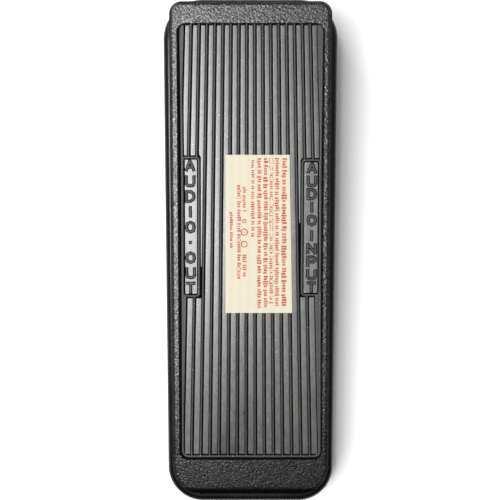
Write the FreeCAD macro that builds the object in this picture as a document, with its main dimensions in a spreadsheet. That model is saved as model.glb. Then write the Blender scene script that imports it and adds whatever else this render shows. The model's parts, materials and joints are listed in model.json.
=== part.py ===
import FreeCAD, Part
import math
import os
import re
import Sketcher

# Rocking foot pedal for an instrument's volume: a die-cast wedge-shaped case on rubber feet, and a
# treadle on a cross rod that drives a potentiometer through a rack and pinion.
# Frame: +X towards the input side, +Y towards the toe, +Z up; origin on the floor under the middle.

os.makedirs("parts", exist_ok=True)
doc = FreeCAD.newDocument("pedal")
sheet = doc.addObject("Spreadsheet::Sheet", "Sizes")

SIZES = {
    # case
    "base_len": 254.0,
    "base_wid_toe": 87.3,
    "base_wid_heel": 84.4,
    "corner_toe": 19.5,
    "corner_heel": 18.0,
    "rim_heel": 20.0,
    "rim_toe": 38.0,
    "edge_round": 3.0,
    "case_wall": 2.6,
    "deck_thk": 2.6,
    # feet and bottom plate
    "foot_rad": 8.0,
    "foot_hi": 6.0,
    "foot_side": 12.2,
    "foot_end": 16.0,
    "plate_thk": 1.2,
    "plate_inset": 0.6,
    "screw_rad": 2.0,
    "screw_head_rad": 3.7,
    "screw_head_hi": 2.2,
    "screw_recess": 1.6,
    "screw_len": 9.0,
    "boss_rad": 4.6,
    # battery and its door
    "door_wid": 58.0,
    "door_y0": -10.4,
    "door_y1": 21.0,
    "door_thk": 1.6,
    "door_gap": 0.3,
    "door_pin_rad": 1.0,
    "door_barrel_rad": 1.5,
    "door_axis_y": -9.6,
    "door_axis_z": 8.2,
    "door_ear_thk": 2.0,
    "batt_len": 46.5,
    "batt_wid": 26.2,
    "batt_hi": 17.2,
    "batt_x0": -25.0,
    "batt_y0": -7.3,
    "snap_thk": 3.2,
    # board
    "board_wid": 60.0,
    "board_end": 33.0,
    "board_gap": 20.7,
    "board_z": 15.6,
    "board_thk": 1.6,
    "board_inset": 4.5,
    "board_screw_rad": 1.5,
    "board_boss_rad": 3.4,
    # sockets
    "jack_y": 30.0,
    "jack_z": 19.0,
    "jack_bore": 3.25,
    "jack_sleeve": 4.7,
    "jack_body": 14.4,
    "jack_depth": 20.0,
    "well_deep": 3.6,
    "seat_thk": 3.6,
    "jack_boss_rad": 10.6,
    "jack_well_rad": 8.6,
    "jack_nut_rad": 7.9,
    "jack_nut_thk": 2.0,
    "jack_washer_thk": 0.7,
    "power_y": 68.0,
    "power_z": 19.0,
    "power_bore": 2.8,
    "power_pin": 1.0,
    "power_sleeve": 4.2,
    "power_well_rad": 7.2,
    "power_nut_rad": 6.3,
    # pivot
    "pivot_y": 4.0,
    "pivot_z": 42.0,
    "pivot_rad": 3.0,
    "ear_gap": 0.7,
    "ear_thk": 6.0,
    "ear_rad": 6.2,
    "ear_foot": 11.0,
    "run_gap": 0.05,
    "bush_wall": 1.5,
    "bush_flange": 0.4,
    # treadle
    "tilt": 5.7,
    "toe_short": 10.2,
    "heel_short": 5.0,
    "treadle_wid": 77.0,
    "treadle_top": 11.0,
    "treadle_plate": 3.2,
    "skirt_deep": 7.0,
    "skirt_wall": 3.0,
    "treadle_corner_toe": 6.0,
    "treadle_corner_heel": 14.0,
    "treadle_round": 2.2,
    "lug_rad": 8.0,
    # rubber tread
    "band_side": 4.3,
    "band_toe": 11.1,
    "band_heel": 19.3,
    "mat_corner": 3.6,
    "mat_sunk": 1.0,
    "mat_floor": 1.3,
    "mat_gap": 0.4,
    "bed_lip": 0.4,
    "rib_hi": 0.8,
    "rib_wid": 0.9,
    "rib_pitch_toe": 3.74,
    "rib_pitch_heel": 4.47,
    "border_wid": 1.0,
    "panel_wid": 7.6,
    "panel_y0": -23.9,
    "panel_y1": 43.4,
    # label
    "label_x0": -12.1,
    "label_x1": 19.1,
    "label_y0": -31.2,
    "label_y1": 44.8,
    "label_thk": 0.25,
    # rack and potentiometer
    "arm_len": 45.0,
    "pin_rad": 1.5,
    "pin_gap": 0.3,
    "pin_slide": 0.8,
    "rack_wid": 6.0,
    "rack_back": 3.6,
    "rack_foot_z": 14.3,
    "eye_wid": 5.0,
    "eye_wall": 2.2,
    "rack_ear_thk": 2.5,
    "rack_ear_gap": 0.4,
    "gear_mod": 1.0,
    "gear_teeth": 10,
    "gear_z": 21.5,
    "gear_wid": 7.0,
    "tooth_thk": 1.25,
    "tooth_up": 0.8,
    "tooth_down": 1.15,
    "pot_rad": 8.0,
    "pot_deep": 12.5,
    "pot_face_x": -11.5,
    "pot_thread": 3.7,
    "pot_thread_len": 6.0,
    "pot_nut_rad": 5.6,
    "pot_nut_thk": 2.0,
    "shaft_rad": 3.0,
    "bracket_thk": 1.5,
    # foot switch
    "switch_end": 27.0,
    "switch_body": 17.4,
    "switch_body_z": 15.0,
    "switch_body_hi": 14.6,
    "switch_thread": 5.9,
    "switch_nut_rad": 8.4,
    "switch_nut_thk": 2.2,
    "switch_pad_rise": 0.15,
    "switch_pad_drop": 0.5,
    "switch_pad_rad": 11.0,
    "plunger_rad": 4.4,
    "plunger_top": 41.4,
    "toe_pad_rad": 7.0,
    "toe_pad_thk": 3.0,
    # stops
    "bumper_rad": 5.0,
    "bumper_hi": 2.1,
    "bumper_x": 24.0,
    "bumper_heel_end": 14.2,
    "bumper_toe_end": 9.4,
}

# Places that follow from the sizes above.
DERIVED = {
    "foot_x": "(base_wid_heel/2 - foot_side)",
    "foot_y": "(base_len/2 - foot_end)",
    "board_y0": "(board_end - base_len/2)",
    "board_y1": "(batt_y0 - board_gap)",
    "board_deep": "(batt_y0 - board_gap - board_end + base_len/2)",
    "ear_out_x": "(treadle_wid/2 - skirt_wall - ear_gap)",
    "ear_in_x": "(treadle_wid/2 - skirt_wall - ear_gap - ear_thk)",
    "tread_toe": "(base_len/2 - toe_short)",
    "tread_heel": "(base_len/2 - heel_short)",
    "mat_wid": "(treadle_wid - 2*band_side)",
    "mat_toe": "(base_len/2 - toe_short - band_toe)",
    "mat_heel": "(base_len/2 - heel_short - band_heel)",
    "switch_y": "(base_len/2 - switch_end)",
    "bumper_heel_y": "(bumper_heel_end - base_len/2)",
    "bumper_toe_y": "(base_len/2 - bumper_toe_end)",
}

for row, (alias, value) in enumerate(SIZES.items(), start=1):
    sheet.set(f"A{row}", alias)
    sheet.set(f"B{row}", str(value))
    sheet.setAlias(f"B{row}", alias)
doc.recompute()

PARTS = {}
X_AXIS = FreeCAD.Rotation(FreeCAD.Vector(0, 1, 0), 90)
Y_AXIS = FreeCAD.Rotation(FreeCAD.Vector(1, 0, 0), -90)
Z_AXIS = FreeCAD.Rotation()
TURNS = {"x": X_AXIS, "y": Y_AXIS, "z": Z_AXIS}


def expression(text):
    """Writes out derived places, then puts the sheet's name in front of each alias in a formula."""
    spelt = re.sub(r"[a-z][a-z0-9_]*", lambda m: DERIVED.get(m[0], m[0]), str(text))
    return re.sub(r"[a-z][a-z0-9_]*", lambda m: f"Sizes.{m[0]}" if m[0] in SIZES else m[0], spelt)


def bind(obj, prop, text):
    obj.setExpression(prop, expression(text))


def size(text):
    """The present value of a formula in the sheet's sizes."""
    value = doc.getObject("Sizes").evalExpression(expression(text))
    return float(getattr(value, "Value", value))


def at(obj, point):
    for axis, text in zip("xyz", point):
        bind(obj, f"Placement.Base.{axis}", text)
    return obj


def box(name, xs, ys, zs):
    obj = doc.addObject("Part::Box", name)
    for prop, (low, high) in zip(("Length", "Width", "Height"), (xs, ys, zs)):
        bind(obj, prop, f"({high}) - ({low})")
    return at(obj, (xs[0], ys[0], zs[0]))


def turned(kind, name, axis, point, **props):
    """A cylinder, cone or prism that starts at a point and runs along an axis."""
    obj = doc.addObject(kind, name)
    obj.Placement = FreeCAD.Placement(FreeCAD.Vector(), TURNS[axis])
    for prop, text in props.items():
        bind(obj, prop, text)
    return at(obj, point)


def cyl(name, axis, point, radius, length):
    return turned("Part::Cylinder", name, axis, point, Radius=radius, Height=length)


def hexagon(name, axis, point, radius, length):
    return turned("Part::Prism", name, axis, point, Circumradius=radius, Height=length)


def fuse(name, *shapes):
    obj = doc.addObject("Part::MultiFuse", name)
    obj.Shapes = list(shapes)
    return obj


def cut(name, base, *tools):
    obj = doc.addObject("Part::Cut", name)
    obj.Base = base
    obj.Tool = tools[0] if len(tools) == 1 else fuse(f"{name}_tools", *tools)
    return obj


def group(name, *shapes):
    obj = doc.addObject("Part::Compound", name)
    obj.Links = list(shapes)
    return obj


def keep(label, obj):
    """Names a finished piece; its label is its file's name."""
    obj.Label = label
    PARTS[label] = obj
    return obj


def on_treadle(obj):
    """Places a piece drawn about the pivot rod into the treadle's tilted frame."""
    turn = FreeCAD.Rotation(FreeCAD.Vector(1, 0, 0), size("tilt"))
    obj.Placement = FreeCAD.Placement(FreeCAD.Vector(), turn)
    bind(obj, "Placement.Rotation.Angle", "tilt")
    return at(obj, (0, "pivot_y", "pivot_z"))


def on_deck(obj, x, y):
    """Stands a piece square on the case's sloping deck."""
    turn = FreeCAD.Rotation(FreeCAD.Vector(1, 0, 0), 1)
    obj.Placement = FreeCAD.Placement(FreeCAD.Vector(), turn)
    bind(obj, "Placement.Rotation.Angle", "atan((rim_toe - rim_heel)/base_len)")
    return at(obj, (x, y, deck(y)))


def deck(y):
    """Height of the case's sloping top at a distance along it."""
    return f"(rim_heel + (rim_toe - rim_heel)*(({y}) + base_len/2)/base_len)"


def ceiling(y):
    return f"({deck(y)} - deck_thk)"


def wall_x(y):
    """Half the case's outer width at a distance along it."""
    return f"(base_wid_heel/2 + (base_wid_toe - base_wid_heel)/2*(({y}) + base_len/2)/base_len)"


def sketch_on(body, name, role):
    sketch = body.newObject("Sketcher::SketchObject", name)
    plane = next(f for f in body.Origin.OriginFeatures if f.Role == role)
    sketch.AttachmentSupport = [(plane, "")]
    sketch.MapMode = "FlatFace"
    return sketch


def polygon(body, name, role, points):
    """A closed outline whose corners are each held by two bound distances."""
    sketch = sketch_on(body, name, role)
    spots = [FreeCAD.Vector(size(u), size(v), 0) for u, v in points]
    count = len(spots)
    for i in range(count):
        sketch.addGeometry(Part.LineSegment(spots[i], spots[(i + 1) % count]))
    for i in range(count):
        sketch.addConstraint(Sketcher.Constraint("Coincident", i, 2, (i + 1) % count, 1))
    for i, (u, v) in enumerate(points):
        for kind, text in (("DistanceX", u), ("DistanceY", v)):
            index = sketch.addConstraint(Sketcher.Constraint(kind, -1, 1, i, 1, size(text)))
            sketch.renameConstraint(index, f"{kind[-1].lower()}at{i}")
            bind(sketch, f"Constraints.{kind[-1].lower()}at{i}", text)
    return sketch


def pad(body, name, sketch, length, offset=0, both=False):
    obj = body.newObject("PartDesign::Pad", name)
    obj.Profile = sketch
    bind(obj, "Length", length)
    obj.Midplane = both
    if offset != 0:
        bind(sketch, "AttachmentOffset.Base.z", offset)
    return obj


def pocket(body, name, sketch, length, offset=0, both=False, upward=False):
    obj = body.newObject("PartDesign::Pocket", name)
    obj.Profile = sketch
    bind(obj, "Length", length)
    obj.Midplane = both
    obj.Reversed = upward
    if offset != 0:
        bind(sketch, "AttachmentOffset.Base.z", offset)
    return obj


def fillet(body, name, radius, test, kind="Fillet", field="Radius"):
    """Rounds or bevels the edges of the body's last feature that pass a test on their two ends."""
    doc.recompute()
    last = body.Tip
    names = []
    for i, edge in enumerate(last.Shape.Edges, start=1):
        ends = [v.Point for v in edge.Vertexes]
        if len(ends) == 2 and test(ends[0], ends[1]):
            names.append(f"Edge{i}")
    obj = body.newObject(f"PartDesign::{kind}", name)
    obj.Base = (last, names)
    bind(obj, field, radius)
    body.Tip = obj
    return obj


def upright(a, b):
    return abs(a.x - b.x) < 0.01 and abs(a.y - b.y) < 0.01


def block_body(name, x0, x1, y0, y1, z0, high, corner_toe, corner_heel):
    """An upright rounded block as a body: outline, pad, then its toe and heel corners."""
    body = doc.addObject("PartDesign::Body", name)
    outline = polygon(body, f"{name}_outline", "XY_Plane", [(x0, y0), (x1, y0), (x1, y1), (x0, y1)])
    pad(body, f"{name}_pad", outline, high, z0)
    middle = (size(y0) + size(y1))/2
    fillet(body, f"{name}_toe", corner_toe, lambda a, b: upright(a, b) and a.y > middle)
    fillet(body, f"{name}_heel", corner_heel, lambda a, b: upright(a, b) and a.y < middle)
    return body


# ---------------------------------------------------------------- case
FLOOR = "(foot_hi + plate_thk)"


def wedge(name, inset, drop):
    """The case's outline drawn in by an inset, under the sloping deck lowered by a drop."""
    body = doc.addObject("PartDesign::Body", name)
    half_heel = f"base_wid_heel/2 - {inset}"
    half_toe = f"base_wid_toe/2 - {inset}"
    end = f"base_len/2 - {inset}"
    outline = polygon(body, f"{name}_outline", "XY_Plane", [
        (f"-({half_heel})", f"-({end})"),
        (half_heel, f"-({end})"),
        (half_toe, end),
        (f"-({half_toe})", end),
    ])
    pad(body, f"{name}_pad", outline, f"rim_toe + 5 - {FLOOR}", FLOOR)
    fillet(body, f"{name}_toe", f"corner_toe - {inset}", lambda a, b: upright(a, b) and a.y > 0)
    fillet(body, f"{name}_heel", f"corner_heel - {inset}", lambda a, b: upright(a, b) and a.y < 0)
    far = "base_len"
    side = polygon(body, f"{name}_side", "YZ_Plane", [
        (f"-{far}", f"{deck('-' + far)} - {drop}"),
        (far, f"{deck(far)} - {drop}"),
        (far, "rim_toe*3"),
        (f"-{far}", "rim_toe*3"),
    ])
    pocket(body, f"{name}_slope", side, "base_wid_toe*2", both=True)
    return body


shell = wedge("case_outer", "0", "0")


def on_slope(a, b):
    return all(abs(p.z - size(deck(p.y))) < 0.02 for p in (a, b))


fillet(shell, "case_outer_edge", "edge_round", on_slope)
hollow = wedge("case_hollow", "case_wall", "deck_thk")

holes = []
ears = []
for side, low in (("right", "ear_in_x"), ("left", "-ear_out_x")):
    top = cyl(f"ear_round_{side}", "x", (low, "pivot_y", "pivot_z"), "ear_rad", "ear_thk")
    blade = doc.addObject("PartDesign::Body", f"ear_blade_{side}")
    profile = polygon(blade, f"ear_profile_{side}", "YZ_Plane", [
        ("pivot_y - ear_foot", deck("pivot_y - ear_foot")),
        ("pivot_y + ear_foot", deck("pivot_y + ear_foot")),
        ("pivot_y + ear_rad", "pivot_z"),
        ("pivot_y - ear_rad", "pivot_z"),
    ])
    pad(blade, f"ear_pad_{side}", profile, "ear_thk", low)
    eye = cyl(f"ear_eye_{side}", "x", (f"{low} - 1", "pivot_y", "pivot_z"), "pivot_rad", "ear_thk + 2")
    ears.append(cut(f"ear_{side}", fuse(f"ear_blank_{side}", blade, top), eye))
keep("pivot_ears", group("ear_pair", *ears))

CORNERS = [(x, y) for x in ("-foot_x", "foot_x") for y in ("-foot_y", "foot_y")]
inner = []
for i, (x, y) in enumerate(CORNERS):
    inner.append(cyl(f"foot_boss_{i}", "z", (x, y, FLOOR), "boss_rad", f"{deck(y)} - 1 - {FLOOR}"))
    holes.append(cyl(f"foot_tap_{i}", "z", (x, y, f"{FLOOR} - 1"), "screw_rad", "screw_len + 1.5"))

BOARD_SPOTS = [
    (x, y)
    for x in ("-(board_wid/2 - board_inset)", "(board_wid/2 - board_inset)")
    for y in ("(board_y0 + board_inset)", "(board_y1 - board_inset)")
]
BOARD_TOP = "(board_z + board_thk)"
for i, (x, y) in enumerate(BOARD_SPOTS):
    inner.append(cyl(f"board_boss_{i}", "z", (x, y, BOARD_TOP), "board_boss_rad", f"{deck(y)} - 1 - {BOARD_TOP}"))
    holes.append(cyl(f"board_tap_{i}", "z", (x, y, f"{BOARD_TOP} - 1"), "board_screw_rad", "3.2"))

JACK_SEAT = f"({wall_x('jack_y')} - well_deep)"
JACK_IN = f"({JACK_SEAT} - seat_thk)"
POWER_SEAT = f"({wall_x('power_y')} - well_deep)"
POWER_IN = f"({POWER_SEAT} - seat_thk)"
for side, sign in (("right", 1), ("left", -1)):
    low = JACK_IN if sign > 0 else f"-({JACK_SEAT} + well_deep - 0.6)"
    inner.append(cyl(f"jack_boss_{side}", "x", (low, "jack_y", "jack_z"), "jack_boss_rad",
                     "seat_thk + well_deep - 0.6"))
    low = f"{JACK_IN} - 1" if sign > 0 else f"-({JACK_SEAT} + 1)"
    holes.append(cyl(f"jack_hole_{side}", "x", (low, "jack_y", "jack_z"), "jack_sleeve", "seat_thk + 2"))
    low = JACK_SEAT if sign > 0 else f"-({JACK_SEAT} + 10)"
    holes.append(cyl(f"jack_well_{side}", "x", (low, "jack_y", "jack_z"), "jack_well_rad", "10"))
inner.append(cyl("power_boss", "x", (POWER_IN, "power_y", "power_z"), "power_well_rad + 2",
                 "seat_thk + well_deep - 0.6"))
holes.append(cyl("power_hole", "x", (f"{POWER_IN} - 1", "power_y", "power_z"), "power_sleeve", "seat_thk + 2"))
holes.append(cyl("power_well", "x", (POWER_SEAT, "power_y", "power_z"), "power_well_rad", "10"))

PAD_TOP = f"({deck('switch_y + switch_pad_rad')} + switch_pad_rise)"
PAD_LOW = f"({ceiling('switch_y - switch_pad_rad')} - switch_pad_drop)"
inner.append(cyl("switch_pad", "z", (0, "switch_y", PAD_LOW), "switch_pad_rad",
                 f"{PAD_TOP} - {PAD_LOW}"))
holes.append(cyl("switch_hole", "z", (0, "switch_y", f"{PAD_LOW} - 1"), "switch_thread",
                 f"{PAD_TOP} - {PAD_LOW} + 2"))

GEAR_R = "(gear_mod*gear_teeth/2)"
PIN_Y = "(pivot_y + arm_len*(1 + cos(tilt + 5))/2)"
BAR_Y0 = f"({PIN_Y} - rack_back/2 - 0.8)"
PITCH_Y = f"({BAR_Y0} + rack_back + tooth_down)"
GEAR_Y = f"({PITCH_Y} + {GEAR_R})"
PIN_Z = "(pivot_z + arm_len*sin(tilt))"
BRACKET_Z = "27"
FLANGE_Y0 = f"({GEAR_Y} + pot_rad + 1.2)"
FLANGE_Y1 = f"({FLANGE_Y0} + 11)"
FLANGE_Y = f"({FLANGE_Y0} + 5.5)"
holes.append(box("rack_slot", ("-rack_wid/2 - 1", "rack_wid/2 + 1"),
                 (f"{BAR_Y0} - 1", f"{PITCH_Y} + tooth_up + 1.2"), (BRACKET_Z, f"{deck(PITCH_Y)} + 4")))
for i, x in enumerate(("-4", "4")):
    inner.append(cyl(f"bracket_boss_{i}", "z", (x, FLANGE_Y, BRACKET_Z), "board_boss_rad",
                     f"{deck(FLANGE_Y)} - 1 - {BRACKET_Z}"))
    holes.append(cyl(f"bracket_tap_{i}", "z", (x, FLANGE_Y, f"{BRACKET_Z} - 1"), "board_screw_rad", "4"))
GUIDE_Y1 = f"({BAR_Y0} - 0.3)"
inner.append(box("guide_seat", ("-6", "6"), (f"{GUIDE_Y1} - 4", GUIDE_Y1), (BRACKET_Z, f"{deck(GUIDE_Y1)} - 1.2")))

open_case = cut("case_open", shell, hollow)
keep("base_housing", cut("housing", fuse("case_filled", open_case, *inner), *holes))

# ---------------------------------------------------------------- bottom plate, feet, screws
plate = doc.addObject("PartDesign::Body", "plate_body")
plate_outline = polygon(plate, "plate_outline", "XY_Plane", [
    ("-(base_wid_heel/2 - plate_inset)", "-(base_len/2 - plate_inset)"),
    ("base_wid_heel/2 - plate_inset", "-(base_len/2 - plate_inset)"),
    ("base_wid_toe/2 - plate_inset", "base_len/2 - plate_inset"),
    ("-(base_wid_toe/2 - plate_inset)", "base_len/2 - plate_inset"),
])
pad(plate, "plate_pad", plate_outline, "plate_thk", "foot_hi")
fillet(plate, "plate_toe", "corner_toe - plate_inset", lambda a, b: upright(a, b) and a.y > 0)
fillet(plate, "plate_heel", "corner_heel - plate_inset", lambda a, b: upright(a, b) and a.y < 0)
HATCH_X = "(door_wid/2 + door_gap)"
hatch = box("hatch", (f"-{HATCH_X}", HATCH_X), ("door_y0 - 2", "door_y1 + door_gap"),
            ("foot_hi - 1", f"{FLOOR} + 1"))
plate_holes = [hatch]
door_ears = []
for side, sign in (("right", 1), ("left", -1)):
    low = HATCH_X if sign > 0 else f"-({HATCH_X} + door_ear_thk)"
    high = f"({HATCH_X} + door_ear_thk)" if sign > 0 else f"-{HATCH_X}"
    door_ears.append(box(f"door_ear_{side}", (low, high), ("door_axis_y - 2.2", "door_axis_y + 2.2"),
                         (f"{FLOOR} - plate_thk/2", "door_axis_z + 2.2")))
    plate_holes.append(cyl(f"door_ear_hole_{side}", "x", (f"{low} - 1", "door_axis_y", "door_axis_z"),
                           "door_pin_rad + run_gap", "door_ear_thk + 2"))
for i, (x, y) in enumerate(CORNERS):
    plate_holes.append(cyl(f"plate_hole_{i}", "z", (x, y, "foot_hi - 1"), "screw_rad + 0.2", "plate_thk + 2"))
keep("bottom_plate", cut("plate", fuse("plate_with_ears", plate, *door_ears), *plate_holes))

feet = []
screws = []
for i, (x, y) in enumerate(CORNERS):
    rubber = turned("Part::Cone", f"foot_{i}", "z", (x, y, 0), Radius1="foot_rad - 0.8", Radius2="foot_rad",
                    Height="foot_hi")
    recess = cyl(f"foot_recess_{i}", "z", (x, y, "-1"), "screw_head_rad + 0.5", "screw_recess + screw_head_hi + 1")
    bore = cyl(f"foot_bore_{i}", "z", (x, y, 0), "screw_rad + 0.2", "foot_hi + 1")
    feet.append(cut(f"foot_cut_{i}", rubber, recess, bore))
    head = cyl(f"screw_head_{i}", "z", (x, y, "screw_recess"), "screw_head_rad", "screw_head_hi")
    shank = cyl(f"screw_shank_{i}", "z", (x, y, "screw_recess"), "screw_rad",
                f"{FLOOR} + screw_len - screw_recess")
    slot_a = box(f"screw_slot_a_{i}", (f"{x} - 2", f"{x} + 2"), (f"{y} - 0.4", f"{y} + 0.4"),
                 ("screw_recess - 1", "screw_recess + 1.1"))
    slot_b = box(f"screw_slot_b_{i}", (f"{x} - 0.4", f"{x} + 0.4"), (f"{y} - 2", f"{y} + 2"),
                 ("screw_recess - 1", "screw_recess + 1.1"))
    screws.append(cut(f"screw_{i}", fuse(f"screw_blank_{i}", head, shank), slot_a, slot_b))
keep("rubber_feet", group("feet", *feet))
keep("foot_screws", group("screws", *screws))

# ---------------------------------------------------------------- battery door, battery
leaf = block_body("door_leaf", "-door_wid/2", "door_wid/2", "door_y0", "door_y1", "foot_hi", "door_thk", "3", "0.6")
barrel = cyl("door_barrel", "x", ("-door_wid/2", "door_axis_y", "door_axis_z"), "door_barrel_rad", "door_wid")
pins = cyl("door_pins", "x", (f"-({HATCH_X} + door_ear_thk)", "door_axis_y", "door_axis_z"), "door_pin_rad",
           f"2*({HATCH_X} + door_ear_thk)")
nick = cyl("door_nick", "x", ("-9", "door_y1 - 2.6", "foot_hi - 1.2"), "2.0", "18")
keep("battery_door", cut("door", fuse("door_blank", leaf, barrel, pins), nick))

BATT_Z = "(foot_hi + door_thk + door_gap)"
BATT_X1 = "(batt_x0 + batt_len)"
BATT_Y = "(batt_y0 + batt_wid/2)"
cell = block_body("cell", "batt_x0", BATT_X1, "batt_y0", "batt_y0 + batt_wid", BATT_Z, "batt_hi", "1.2", "1.2")
stud_plus = cyl("stud_plus", "x", (f"{BATT_X1} - 0.5", f"{BATT_Y} - 6.35", f"{BATT_Z} + batt_hi/2"), "2.9", "2.5")
stud_minus = hexagon("stud_minus", "x", (f"{BATT_X1} - 0.5", f"{BATT_Y} + 6.35", f"{BATT_Z} + batt_hi/2"),
                     "3.9", "2.5")
keep("battery", fuse("battery_all", cell, stud_plus, stud_minus))
SNAP_X = f"({BATT_X1} + 2.0)"
keep("battery_snap", box("snap", (SNAP_X, f"{SNAP_X} + snap_thk"),
                         ("batt_y0 + 0.8", "batt_y0 + batt_wid - 0.8"), (f"{BATT_Z} + 1.8", f"{BATT_Z} + 14.8")))
keep("battery_pad", box("pad_foam", ("batt_x0 + 8", "batt_x0 + 36"), ("batt_y0 + 15", "batt_y0 + 24"),
                        (f"{BATT_Z} + batt_hi", f"{ceiling('batt_y0 + 15')}")))

# ---------------------------------------------------------------- circuit board
card = box("card", ("-board_wid/2", "board_wid/2"), ("board_y0", "board_y1"), ("board_z", BOARD_TOP))
card_holes = []
card_screws = []
for i, (x, y) in enumerate(BOARD_SPOTS):
    card_holes.append(cyl(f"card_hole_{i}", "z", (x, y, "board_z - 1"), "board_screw_rad + 0.2", "board_thk + 2"))
    card_head = cyl(f"card_head_{i}", "z", (x, y, "board_z - 1.8"), "board_screw_rad + 1.3", "1.8")
    card_shank = cyl(f"card_shank_{i}", "z", (x, y, "board_z - 1"), "board_screw_rad", "board_thk + 1 + 2")
    card_screws.append(fuse(f"card_screw_{i}", card_head, card_shank))
keep("circuit_board", cut("card_drilled", card, *card_holes))
keep("board_screws", group("card_screws", *card_screws))

FILM = [(-18, 0.79), (-18, 0.61), (2, 0.76), (16, 0.45)]
film_caps = []
for i, (x, y) in enumerate(FILM):
    film_caps.append(box(f"film_{i}", (f"{x} - 4", f"{x} + 4"), (f"board_y0 + board_deep*{y} - 2", f"board_y0 + board_deep*{y} + 2"),
                         ("board_z - 6", "board_z")))
keep("film_capacitors", group("film_caps", *film_caps))
CANS = [(-12, 0.38), (0, 0.42), (16, 0.7)]
cans = []
for i, (x, y) in enumerate(CANS):
    cans.append(cyl(f"can_{i}", "z", (x, f"board_y0 + board_deep*{y}", "board_z - 6.6"), "3", "6.6"))
keep("electrolytic_capacitors", group("electrolytics", *cans))
resistors = []
for i in range(8):
    x = -20 + 5.5*i
    resistors.append(box(f"resistor_leg_{i}", (f"{x} - 0.3", f"{x} + 0.3"),
                         ("board_y0 + 9", "board_y0 + 18"), ("board_z - 0.4", "board_z")))
    resistors.append(cyl(f"resistor_{i}", "y", (f"{x}", "board_y0 + 10.5", "board_z - 1.6"), "1.2", "6"))
keep("resistors", group("resistor_row", *resistors))
transistors = []
for i, x in enumerate((4, 14)):
    can = cyl(f"transistor_{i}", "z", (f"{x}", "board_y0 + board_deep*0.57", "board_z - 5.5"), "2.3", "5.5")
    flat = box(f"transistor_flat_{i}", (f"{x} - 3", f"{x} + 3"), ("board_y0 + board_deep*0.57 + 1.2", "board_y0 + board_deep*0.57 + 4"),
               ("board_z - 6", "board_z + 1"))
    transistors.append(cut(f"transistor_cut_{i}", can, flat))
keep("transistors", group("transistor_pair", *transistors))

# ---------------------------------------------------------------- sockets
JACK_MOUTH = f"({JACK_SEAT} + jack_washer_thk + jack_nut_thk + 0.5)"
nuts = []
washers = []
for label, side, sign in (("input_jack", "right", 1), ("output_jack", "left", -1)):
    def run(low, high, sign=sign):
        return (low, high) if sign > 0 else (f"-({high})", f"-({low})")

    xs = run(f"{JACK_IN} - jack_depth", JACK_IN)
    body = box(f"{label}_body", xs, ("jack_y - jack_body/2", "jack_y + jack_body/2"),
               ("jack_z - jack_body/2", "jack_z + jack_body/2"))
    xs = run(f"{JACK_IN} - 1", JACK_MOUTH)
    sleeve = cyl(f"{label}_sleeve", "x", (xs[0], "jack_y", "jack_z"), "jack_sleeve", f"({xs[1]}) - ({xs[0]})")
    xs = run(f"{JACK_IN} - jack_depth + 2", f"{JACK_MOUTH} + 1")
    bore = cyl(f"{label}_bore", "x", (xs[0], "jack_y", "jack_z"), "jack_bore", f"({xs[1]}) - ({xs[0]})")
    keep(label, cut(f"{label}_cut", fuse(f"{label}_blank", body, sleeve), bore))
    xs = run(JACK_SEAT, f"{JACK_SEAT} + jack_washer_thk")
    ring = cyl(f"washer_{side}", "x", (xs[0], "jack_y", "jack_z"), "jack_nut_rad + 0.2", "jack_washer_thk")
    ring_hole = cyl(f"washer_hole_{side}", "x", (f"{xs[0]} - 1", "jack_y", "jack_z"), "jack_sleeve",
                    "jack_washer_thk + 2")
    washers.append(cut(f"washer_cut_{side}", ring, ring_hole))
    xs = run(f"{JACK_SEAT} + jack_washer_thk", f"{JACK_SEAT} + jack_washer_thk + jack_nut_thk")
    nut = hexagon(f"nut_{side}", "x", (xs[0], "jack_y", "jack_z"), "jack_nut_rad", "jack_nut_thk")
    nut_hole = cyl(f"nut_hole_{side}", "x", (f"{xs[0]} - 1", "jack_y", "jack_z"), "jack_sleeve", "jack_nut_thk + 2")
    nuts.append(cut(f"nut_cut_{side}", nut, nut_hole))
keep("jack_nuts", group("jack_nut_pair", *nuts))
keep("jack_washers", group("jack_washer_pair", *washers))

power_body = box("power_body", (f"{POWER_IN} - 11", POWER_IN), ("power_y - 5.5", "power_y + 5.5"),
                 ("power_z - 5.5", "power_z + 5.5"))
power_sleeve = cyl("power_tube", "x", (f"{POWER_IN} - 1", "power_y", "power_z"), "power_sleeve",
                   "seat_thk + 3.0")
power_bore = cyl("power_bore_cut", "x", (f"{POWER_IN} - 8", "power_y", "power_z"), "power_bore", "20")
power_pin = cyl("power_pin_rod", "x", (f"{POWER_IN} - 9", "power_y", "power_z"), "power_pin", "11")
power_open = cut("power_open", fuse("power_blank", power_body, power_sleeve), power_bore)
keep("power_socket", fuse("power_all", power_open, power_pin))
power_hex = hexagon("power_hex", "x", (POWER_SEAT, "power_y", "power_z"), "power_nut_rad", "1.8")
power_hex_hole = cyl("power_hex_hole", "x", (f"{POWER_SEAT} - 1", "power_y", "power_z"), "power_sleeve", "4")
keep("power_nut", cut("power_nut_cut", power_hex, power_hex_hole))

# ---------------------------------------------------------------- pivot rod and clips
ROD_X = "(treadle_wid/2 - 0.4)"
keep("pivot_rod", cyl("rod", "x", (f"-{ROD_X}", "pivot_y", "pivot_z"), "pivot_rad", f"2*{ROD_X}"))
clips = []
for side, low in (("right", "ear_in_x - 1.4"), ("left", "-ear_in_x")):
    ring = cyl(f"clip_{side}", "x", (low, "pivot_y", "pivot_z"), "pivot_rad + 2.6", "1.4")
    ring_hole = cyl(f"clip_hole_{side}", "x", (f"{low} - 1", "pivot_y", "pivot_z"), "pivot_rad", "4")
    clips.append(cut(f"clip_cut_{side}", ring, ring_hole))
keep("pivot_clips", group("clip_pair", *clips))

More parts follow.
